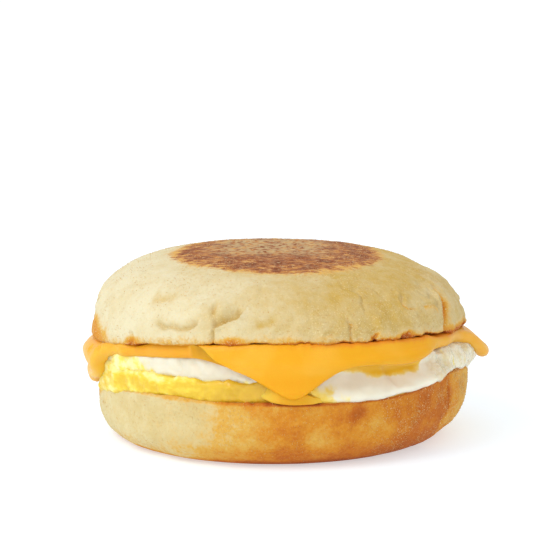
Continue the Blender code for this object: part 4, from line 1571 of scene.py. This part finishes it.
        # Painted shade in the crevice under the crown's rim, stronger at the right.
        crevice_shade_strength = 0.2 + 0.6 * band(azimuth, -80, -2, 8)
        beside_rim = ramp(past_rim, 2.2 * MM, 0.8 * MM) * (1 - ramp(below_rim, 0.2 * MM, 1.2 * MM))
        paint = {
            "deep": np.clip(deep + 0.6 * pits, 0, 1),
            # Painted shade along the thin front edge at the right, in the darker shade colour.
            "thin": 0.3 * ramp(from_edge, 2.5 * MM, 0.3 * MM) * band(azimuth, -72, -20, 8),
            "eggy": 0.4 * ramp(from_edge, 3.0 * MM, 0.5 * MM) * band(azimuth, -166, -148, 4),
            "peach": 0.6 * swell(azimuth, 193, 17) * ramp(height, 18.0 * MM, 23.0 * MM) * (1 - pits),
            "crevice_shade": under_rim * beside_rim * crevice_shade_strength,
        }
        return Skin.from_faces(upper, lower, paint)

    def build(self) -> bpy.types.Object:
        """Make the slice and put it in place of its solid."""
        cheese = piece("melted_cheese", self.skin(), CheeseFinish().material())
        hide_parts(Layer.CHEESE.value)
        return cheese


@dataclass
class MeltedFilm:
    """Cheese that ran out of the front corner as a thin film over the egg.

    Its lower edge is given by azimuths in degrees and heights in mm.
    """

    edge_places: tuple[tuple[float, float], ...] = (
        (-98.5, 19.4),
        (-96.0, 18.4),
        (-93.0, 17.6),
        (-87.4, 17.1),
        (-80.5, 17.0),
        (-76.5, 17.4),
    )
    top_places: tuple[tuple[float, float], ...] = (
        (-98.5, 20.4),
        (-94.5, 21.4),
        (-91.0, 23.8),
        (-87.0, 22.4),
        (-84.0, 20.2),
        (-80.5, 18.9),
        (-76.5, 18.2),
    )
    radius: float = 48.8 * MM
    thickness: float = 0.8 * MM
    columns: int = 150
    rows: int = 70
    fade_left: float = 8.0
    fade_right: float = 6.0
    fade_top: float = 0.2
    fade_bottom: float = 0.16
    lumps: tuple[Lumps, ...] = (Lumps(0.18 * MM, 4 * MM, 65),)

    def skin(self) -> Skin:
        """Work the film out as an upright sheet on a circle.

        It is sqrt(1 - (1 - e)^2) of its full thickness where e, from 0 to 1, is the way in from
        its edge.

        Returns:
            The film's closed skin.
        """
        places, heights = np.array(self.edge_places).T
        azimuth = np.linspace(places[0], places[-1], self.columns)[:, None]
        lowest = np.interp(azimuth, places, heights * MM)
        highest = np.interp(azimuth, *np.array(self.top_places).T * np.array([[1.0], [MM]]))
        down = np.linspace(0, 1, self.rows)[None, :]
        height = highest + (lowest - highest) * down
        across = np.minimum((azimuth - places[0]) / self.fade_left, (places[-1] - azimuth) / self.fade_right)
        along = np.minimum(down / self.fade_top, (1 - down) / self.fade_bottom)
        inset = np.clip(np.minimum(across, along), 0, 1)
        spots = np.stack([*on_circle(self.radius, azimuth + 0 * down), height], axis=-1)
        left, right = 1 - ramp(azimuth, -99.0, -89.5), ramp(azimuth, -86.0, -76.5)
        half = self.thickness / 2 * np.sqrt(1 - (1 - inset) ** 2) * (1 - 0.7 * left)
        upper = (1 - ramp(down, 0.0, 0.75)) * (1 - ramp(azimuth, -95.0, -89.0))
        sunk = (2.6 * left + 1.5 * right + 1.3 * upper) * MM
        middle = self.radius + lumpy(spots, self.lumps) - sunk
        outer = np.stack([*on_circle(middle + half, azimuth), height], axis=-1)
        inner = np.stack([*on_circle(middle - half, azimuth), height], axis=-1)
        plain = np.zeros_like(height)
        paint = {
            "deep": plain + 0.75,
            # Painted shade under the flap's tip, darker towards the bottom.
            "thin": plain + 0.5 + 0.3 * down,
            "eggy": plain + np.clip(1.0 - ramp(azimuth, -97, -88) + 0.5 * ramp(azimuth, -84, -78), 0, 1),
            "peach": plain,
            # Painted shade along the lower edge, in the crack above the heel's rim.
            "crevice_shade": plain + 0.25 * ramp(down, 0.8, 1.0),
        }
        return Skin.from_faces(outer, inner, paint)

    def build(self, material: bpy.types.Material) -> bpy.types.Object:
        """Make the film, in the slice's own material."""
        return piece("melted_film", self.skin(), material)


@dataclass
class Egg:
    """The egg: white over a broken yolk."""

    form: SandwichForm
    cheese: Cheese
    radius: float = 46.6 * MM
    edge_share: float = 0.05
    right_reach: float = 4.6 * MM
    right_azimuth: float = -6.0
    right_half_width: float = 24.0
    flare: float = 2.6 * MM
    flare_azimuth: float = -48.0
    flare_half_width: float = 34.0
    slack: float = 0.3 * MM
    sink: float = 0.75 * MM
    skirt: float = 1.5 * MM
    smear_places: tuple[tuple[float, float], ...] = (
        (-74.0, 25.0),
        (-69.3, 24.2),
        (-64.5, 23.8),
        (-60.7, 23.1),
        (-57.0, 22.7),
        (-49.0, 22.1),
        (-43.4, 22.1),
        (-41.0, 23.2),
        (-39.2, 24.6),
        (-37.0, 26.5),
        (-35.0, 30.0),
    )
    white_thinnest: float = 2.6 * MM
    yolk_overhang: float = 0.15 * MM
    yolk_layer: float = 4.3 * MM
    yolk_left_rise: float = 2.4 * MM
    yolk_left: float = -37.0 * MM
    yolk_taper: float = 18.0 * MM
    yolk_edge: float = 0.9 * MM
    yolk_centre: tuple[float, float] = (-19.0 * MM, -5.0 * MM)
    yolk_ends: tuple[float, float] = (-70.0, 118.0)
    folds: tuple[Crease, ...] = (
        Crease(((-125.0, 27.5), (-123.6, 25.5), (-121.5, 23.2)), 0.5 * MM, 1.6 * MM, 0.8 * MM),
        Crease(((-118.6, 27.8), (-118.2, 25.6), (-115.4, 23.6)), 0.45 * MM, 1.4 * MM, 0.8 * MM),
        Crease(((-131.0, 24.5), (-127.0, 23.4), (-122.0, 22.6)), 0.4 * MM, 1.2 * MM, 0.7 * MM),
        Crease(((-108.0, 25.2), (-103.0, 24.2), (-98.0, 22.8)), 0.35 * MM, 1.4 * MM, 0.8 * MM),
        Crease(((-56.0, 25.0), (-52.0, 21.8), (-51.0, 19.0)), 0.3 * MM, 1.8 * MM, 1.2 * MM),
    )
    lumps: tuple[Lumps, ...] = (Lumps(0.55 * MM, 7 * MM, 71), Lumps(0.25 * MM, 3 * MM, 72))
    frill_folds: tuple[Lumps, ...] = (Lumps(0.7 * MM, 2.6 * MM, 73), Lumps(0.45 * MM, 1.2 * MM, 74))
    frill_grain: tuple[Lumps, ...] = (Lumps(0.3 * MM, 1.5 * MM, 75, 2), Lumps(0.14 * MM, 0.6 * MM, 80))
    left_curds: tuple[Lumps, ...] = (Lumps(0.55 * MM, 2.6 * MM, 76, 3), Lumps(0.18 * MM, 1.0 * MM, 77))
    front_curds: tuple[Lumps, ...] = (Lumps(0.4 * MM, 3.4 * MM, 85, 3), Lumps(0.12 * MM, 1.3 * MM, 87))
    yolk_ragged: tuple[Lumps, ...] = (Lumps(0.4 * MM, 4.5 * MM, 88, 3),)
    yolk_grain: tuple[Lumps, ...] = (Lumps(0.26 * MM, 1.4 * MM, 83, 2),)
    white_columns: int = 640
    yolk_columns: int = 560

    def chord(self) -> tuple[Array, Array]:
        """The straight line that ends the yolk: one of its ends, and its direction."""
        ends = [np.array(on_circle(self.radius, azimuth)) for azimuth in self.yolk_ends]
        along = ends[1] - ends[0]
        return ends[0], along / np.linalg.norm(along)

    def yolk_thickness(self, x: Array, y: Array) -> Array:
        """Thickness of the yolk layer, which tapers towards the line that ends it.

        Args:
            x, y: the places asked for.

        Returns:
            The thickness at each place.
        """
        end, along = self.chord()
        inside = along[0] * (y - end[1]) - along[1] * (x - end[0])
        body = self.yolk_edge + (self.yolk_layer - self.yolk_edge) * ease(inside / self.yolk_taper)
        rise = self.yolk_left_rise * ease((self.yolk_left - x) / (9 * MM))
        room = self.cheese.underside(x, y) - self.form.heel_face(x, y) - self.white_thinnest
        return np.minimum(body + rise, room) * ease(1 + inside / (4 * MM))

    def yolk_reach(self, direction: Array) -> Array:
        """Distance from the yolk's own centre to its edge.

        The edge is the nearer of the egg's circle and the ending line, rounded off where they
        meet: (a^-8 + b^-8)^(-1/8).

        Args:
            direction: in radians.

        Returns:
            The distance in each direction.
        """
        centre = np.array(self.yolk_centre)
        facing = np.stack([np.cos(direction), np.sin(direction)], axis=-1)
        rim = self.radius + self.yolk_overhang
        dot = facing @ centre
        to_rim = -dot + np.sqrt(dot * dot - centre @ centre + rim * rim)
        end, along = self.chord()
        outward = np.array([along[1], -along[0]])
        turned = facing @ outward
        to_line = np.where(turned > 0.02, (outward @ (end - centre)) / np.maximum(turned, 0.02), 10.0)
        return (to_rim**-8 + to_line**-8) ** (-1 / 8)

    def white_radius(self, azimuth: Array) -> Array:
        """The white's reach at each azimuth: it runs out past the muffin at the right, in a frill."""
        angle = np.radians(azimuth)
        frill = swell(azimuth, self.right_azimuth, self.right_half_width)
        wave = 0.5 * MM * np.sin(9 * angle) + 0.3 * MM * np.sin(17 * angle + 1)
        uneven = 0.2 * MM * np.cos(3 * angle + 2) - 0.9 * MM * swell(azimuth, -140, 40)
        return self.radius + (self.right_reach + wave) * frill + uneven

    @staticmethod
    def patty_profile(inner: int, edge: int, edge_share: float, power: float) -> tuple[Array, Array]:
        """Profile of a patty with a rounded edge.

        The edge goes out by cos(t)^p and up by sin(t)^p, t running from 90 to -90 degrees.

        Args:
            inner: rings on each flat face.
            edge: rings round the edge.
            edge_share: the edge's depth as a share of the radius.
            power: how square the edge is.

        Returns:
            Each ring's share of the radius, and its height from 1 on top to -1 below.
        """
        flat = 1 - edge_share - (1 - edge_share) * np.linspace(1, 0, inner + 2)[1:-1] ** 1.8
        angle = np.linspace(math.pi / 2, -math.pi / 2, edge)
        out = 1 - edge_share + edge_share * np.abs(np.cos(angle)) ** power
        up = np.sign(angle) * np.abs(np.sin(angle)) ** power
        shares = np.concatenate([flat, out, flat[::-1]])
        heights = np.concatenate([np.ones(inner), up, -np.ones(inner)])
        return shares[:, None], heights[:, None]

    def white_skin(self) -> Skin:
        """Work out the white.

        Its height runs between the yolk or the heel below and the cheese above. Low folds run
        round it, and at the right its edge is drawn into upright frills.

        Returns:
            The white's closed skin.
        """
        share, level = self.patty_profile(22, 64, self.edge_share, 0.5)
        azimuth = np.linspace(-180, 180, self.white_columns, endpoint=False)
        radius = self.white_radius(azimuth) * share
        x, y = on_circle(radius, azimuth)
        layer = np.maximum(self.yolk_thickness(x, y), 0)
        seat = ramp(share, 0.8, 0.95)
        ended = seat * band(azimuth, -78, -50, 4)
        low = self.form.heel_face(x, y) + self.form.air + layer * (1 - ended) - self.sink * seat
        slack = self.slack * ramp(share, 0.7, 0.85) * (1 - seat)
        ceiling = self.cheese.underside(x, y) - self.form.air * (1 - seat) - slack + 0.45 * MM * seat
        high = np.maximum(ceiling, low + 1.0 * MM)
        height = low + (high - low) * (level + 1) / 2
        edge = ramp(share, 0.86, 0.98)
        lower = ease((0.3 - level) / 1.1) * edge
        flare = self.flare * swell(azimuth, self.flare_azimuth, self.flare_half_width)
        skirt = self.skirt * band(azimuth, -84, -36, 8) * lower
        skirt = skirt + (0.8 * band(azimuth, -192, -150, 10) + 1.1 * band(azimuth, -164, -151, 5)) * MM * edge
        tucked = 1.9 * MM * band(azimuth, -17, 14, 16) * ramp(level, 0.3, -0.9) * edge
        x, y = on_circle(radius + flare * (lower - edge) * 0.9 + skirt - tucked, azimuth)
        grid = np.stack([x, y, height], axis=-1)
        frill = band(azimuth, -33, 12, 7) * edge
        wrinkled = np.stack([x, y, height * 0.22], axis=-1)
        push = lumpy(grid, self.lumps)
        push += frill * (lumpy(wrinkled, self.frill_folds) + lumpy(grid, self.frill_grain))
        leaning = azimuth + 2.2 * (height - 23.0 * MM) / MM
        left = band(leaning, -195, -142, 13) * edge
        push += left * lumpy(grid, self.left_curds)
        fore = band(azimuth, -137, -90, 8) * edge
        push += fore * lumpy(grid, self.front_curds)
        for fold in self.folds:
            relief, _ = fold.relief(azimuth + 1.2 * smooth_noise(grid, 4 * MM, 78), height, self.radius)
            push += relief
        places, heights = np.array(self.smear_places).T
        above = height - np.interp(azimuth, places, heights * MM, left=1.0, right=1.0)
        smear = ramp(above + 0.2 * MM * smooth_noise(grid, 3.0 * MM, 86), -0.9 * MM, 0.8 * MM) * edge
        push += 0.08 * MM * smear
        smear = np.maximum(smear, 0.55 * band(azimuth, -84, -77, 6) * (1 - ramp(level, -0.6, 0.2)) * edge)
        points = grid + wrapped_normals(grid) * (push * edge)[..., None]
        beside_yolk = (1 - ramp(level, -0.95, -0.35)) * ramp(layer, 0.3 * MM, 1.2 * MM) * edge
        wedge = 0.5 * band(azimuth, -82, -76, 5) * (1 - ramp(level, -0.7, 0.1)) * edge
        streaks = 0.8 * (swell(azimuth, -28.8, 0.9) + swell(azimuth, -24.0, 0.7))
        streaks = streaks * ramp(level, -0.6, 0.0) * edge
        back = band(azimuth, 70, 170, 12) * ramp(smooth_noise(grid, 9 * MM, 79), -0.4, 0.5) * edge
        curdled = np.maximum.reduce([0.95 * left, 0.7 * beside_yolk, wedge, streaks, 0.7 * back])
        # Painted light from the front round to the right, and painted shade elsewhere and low at the rim,
        # move the white between milk and cream.
        painted_lighter = ramp(azimuth, -112, -72) * (1 - ramp(azimuth, 50, 110))
        paint = {
            "curdled": curdled,
            "smear": smear,
            "white_shade": 0.8 - 0.6 * painted_lighter + 0.2 * ramp(level, 0.2, -0.8) * seat,
            "frill": frill,
        }
        return Skin.from_rings(points, paint)

    def yolk_skin(self) -> Skin:
        """Work out the yolk: a ragged, grainy layer spread from its own centre.

        Returns:
            The yolk's closed skin.
        """
        share, level = self.patty_profile(14, 46, self.edge_share, 0.45)
        azimuth = np.linspace(-180, 180, self.yolk_columns, endpoint=False)
        reach = self.yolk_reach(np.radians(azimuth)) * share
        x, y = on_circle(reach, azimuth)
        x, y = x + self.yolk_centre[0], y + self.yolk_centre[1]
        seat = ramp(share, 0.8, 0.95)
        low = self.form.heel_face(x, y) + self.form.air - self.sink * seat
        slack = 0.4 * MM * (1 - ramp(share, 0.7, 0.9))
        ragged = lumpy(flat_points(x, y), self.yolk_ragged)
        risen = (1.5 * self.sink + ragged) * seat
        high = low + np.maximum(self.yolk_thickness(x, y) - slack, 0.5 * MM) + risen
        grid = np.stack([x, y, low + (high - low) * (level + 1) / 2], axis=-1)
        edge = ramp(share, 0.86, 0.98)
        nearest = cell_distance(grid + 0.6 * MM * smooth_noise(grid, 2 * MM, 84)[..., None], 2.3 * MM, 81)
        push = 0.6 * MM * (0.5 - nearest) + 0.4 * MM * smooth_noise(grid * (1, 1, 2), 6 * MM, 82)
        push += lumpy(grid, self.yolk_grain) + 0.15 * MM
        around = azimuth_of(x, y)
        push += 1.3 * MM * band(around, -166, -152, 5)
        points = grid + wrapped_normals(grid) * (push * edge)[..., None]
        upper = ramp(level, 0.1, 0.9)
        pale = 0.12 + 0.45 * band(around, -190, -128, 8) * upper + 0.3 * band(around, -190, -152, 8)
        pale = pale + 0.2 * ramp(nearest, 0.6, 0.2) + 0.15 * upper
        rich = ramp(around, -126, -97) * (around < -40)
        return Skin.from_rings(points, {"pale": np.clip(pale - 0.25 * rich, 0, 1), "rich": rich})

    def build(self) -> tuple[bpy.types.Object, bpy.types.Object]:
        """Make the white and the yolk and put them in place of their solids."""
        white = piece("cooked_white", self.white_skin(), WhiteFinish().material())
        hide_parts(Layer.WHITE.value)
        yolk = piece("cooked_yolk", self.yolk_skin(), YolkFinish().material())
        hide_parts(Layer.YOLK.value)
        return white, yolk


@dataclass
class Cornmeal:
    """Coarse cornmeal and flour that stick to the crust, as tiny angular grains."""

    count: int = 9000
    smallest: float = 0.05 * MM
    largest: float = 0.13 * MM
    stand_off: float = 0.05 * MM
    seed: int = 7

    def skin(self, hosts: tuple[tuple[bpy.types.Object, float], ...]) -> Skin:
        """Strew grains over the hosts' points.

        Each grain is an eight-sided lump, stretched at random, whose middle stands a little off
        the crust. The draws are made in the order in which they stand here.

        Args:
            hosts: pairs of a crust and its share of the grains.

        Returns:
            One skin that joins all the grains.
        """
        random = np.random.default_rng(self.seed)
        centres, normals = [], []
        for host, share in hosts:
            mesh = host.data
            places = np.empty(3 * len(mesh.vertices), dtype=np.float32)
            mesh.vertices.foreach_get("co", places)
            facing = np.empty(3 * len(mesh.vertices), dtype=np.float32)
            mesh.vertices.foreach_get("normal", facing)
            places, facing = places.reshape(-1, 3), facing.reshape(-1, 3)
            dusty = np.empty(len(mesh.vertices), dtype=np.float32)
            mesh.attributes["dust"].data.foreach_get("value", dusty)
            reach = np.hypot(places[:, 0], places[:, 1])
            shown = (reach > 20 * MM) & (facing[:, 2] > -0.75) & (places[:, 2] > 1 * MM)
            clumps = ramp(smooth_noise(places, 5 * MM, 91), -0.2, 0.6)
            weight = dusty * shown * (0.15 + clumps) * np.maximum(reach, 1 * MM)
            chosen = random.choice(len(places), int(self.count * share), p=weight / weight.sum())
            centres.append(places[chosen])
            normals.append(facing[chosen])
        centre, normal = np.concatenate(centres), np.concatenate(normals)
        count = len(centre)
        size = random.uniform(self.smallest, self.largest, (count, 1, 1))
        size = size * random.uniform(0.7, 1.3, (count, 1, 3))
        lump = np.array([[1, 0, 0], [0, 1, 0], [-1, 0, 0], [0, -1, 0], [0, 0, 1], [0, 0, -1]], dtype=float)
        spin = random.uniform(0, 2 * math.pi, (count, 1))
        turned = np.stack(
            [
                lump[:, 0] * np.cos(spin) - lump[:, 1] * np.sin(spin),
                lump[:, 0] * np.sin(spin) + lump[:, 1] * np.cos(spin),
                lump[:, 2] + 0 * spin,
            ],
            axis=-1,
        )
        points = centre[:, None, :] + turned * size + normal[:, None, :] * self.stand_off
        faces = np.array(
            [[4, 0, 1], [4, 1, 2], [4, 2, 3], [4, 3, 0], [5, 1, 0], [5, 2, 1], [5, 3, 2], [5, 0, 3]]
        )
        triangles = faces[None] + 6 * np.arange(count)[:, None, None]
        return Skin(points.reshape(-1, 3), np.zeros((0, 4), dtype=int), triangles.reshape(-1, 3))

    def build(self, hosts: tuple[tuple[bpy.types.Object, float], ...]) -> bpy.types.Object:
        """Make the grains on their hosts."""
        return piece("cornmeal_grains", self.skin(hosts), GrainFinish().material())


@dataclass(frozen=True)
class Lamp:
    """A square soft light: its name, where it hangs, its width, and its power in watts."""

    name: str
    place: tuple[float, float, float]
    size: float
    power: float


@dataclass
class Studio:
    """The pale floor, the soft lights and the camera."""

    floor_half: float = 4.0
    target: tuple[float, float, float] = (0.0, 0.0, 24 * MM)
    distance: float = 0.70
    elevation: float = 11.0
    lift: float = 1.324
    swing: float = 0.075
    focal: float = 173.66
    sensor: float = 36.0
    sky_light: float = 0.89
    lamps: tuple[Lamp, ...] = (
        Lamp("key", (-1.1, -0.75, 1.35), 1.0, 13.0),
        Lamp("front", (-0.25, -1.9, 0.35), 1.2, 4.5),
    )

    def floor(self) -> None:
        """Lay the floor."""
        half = self.floor_half
        corners = np.array([[-half, -half, 0], [half, -half, 0], [half, half, 0], [-half, half, 0]])
        mesh = Skin(corners, np.array([[0, 1, 2, 3]]), np.zeros((0, 3), dtype=int)).mesh("floor")
        floor = bpy.data.objects.new("floor", mesh)
        floor.data.materials.append(FloorFinish().material())
        bpy.context.scene.collection.objects.link(floor)

    def light(self, lamp: Lamp) -> None:
        """Hang a soft light and turn it to face the sandwich.

        Args:
            lamp: the light.
        """
        area = bpy.data.lights.new(lamp.name, "AREA")
        area.size = lamp.size
        area.energy = lamp.power
        thing = bpy.data.objects.new(lamp.name, area)
        bpy.context.scene.collection.objects.link(thing)
        aim = np.array(self.target) - np.array(lamp.place)
        flat = math.hypot(aim[0], aim[1])
        thing.location = lamp.place
        thing.rotation_euler = (math.atan2(flat, -aim[2]), 0, math.atan2(-aim[0], aim[1]))

    def sky(self, strength: float) -> None:
        """Surround the scene with even white light."""
        world = bpy.data.worlds.new("studio")
        world.use_nodes = True
        background = world.node_tree.nodes["Background"]
        background.inputs["Color"].default_value = (1, 1, 1, 1)
        background.inputs["Strength"].default_value = strength
        bpy.context.scene.world = world

    def camera(self) -> None:
        """Set up the camera at the photo's viewing angle.

        It stands at the distance and elevation from the target, and looks up by lift and left by
        swing past it, which puts the sandwich in the lower half of the picture.
        """
        lens = bpy.data.cameras.new("camera")
        lens.lens = self.focal
        lens.sensor_width = self.sensor
        lens.clip_start = 0.05
        thing = bpy.data.objects.new("camera", lens)
        bpy.context.scene.collection.objects.link(thing)
        up = math.radians(self.elevation)
        thing.location = (
            self.target[0],
            self.target[1] - self.distance * math.cos(up),
            self.target[2] + self.distance * math.sin(up),
        )
        thing.rotation_euler = (math.radians(90 - self.elevation + self.lift), 0, math.radians(self.swing))
        bpy.context.scene.camera = thing

    def build(self) -> None:
        """Set up the floor, the lights and the camera."""
        self.floor()
        self.sky(self.sky_light)
        for lamp in self.lamps:
            self.light(lamp)
        self.camera()
        bpy.context.scene.view_settings.view_transform = "Standard"


def main() -> None:
    """Build the sandwich and its studio."""
    logging.basicConfig(level=logging.INFO, format="%(name)s: %(message)s")
    form = SandwichForm()
    upper_half = Crown(form)
    cheese = Cheese(form, upper_half)
    crown = upper_half.build()
    heel = Heel(form).build()
    slice_of_cheese = cheese.build()
    film = MeltedFilm().build(slice_of_cheese.data.materials[0])
    white, yolk = Egg(form, cheese).build()
    grains = Cornmeal().build(((crown, 0.55), (heel, 0.45)))
    for thing in (crown, heel, slice_of_cheese, film, white, yolk, grains):
        counts = len(thing.data.vertices), len(thing.data.polygons)
        log.info("%s has %d points and %d faces", thing.name, *counts)
    Studio().build()


if __name__ == "__main__":
    main()
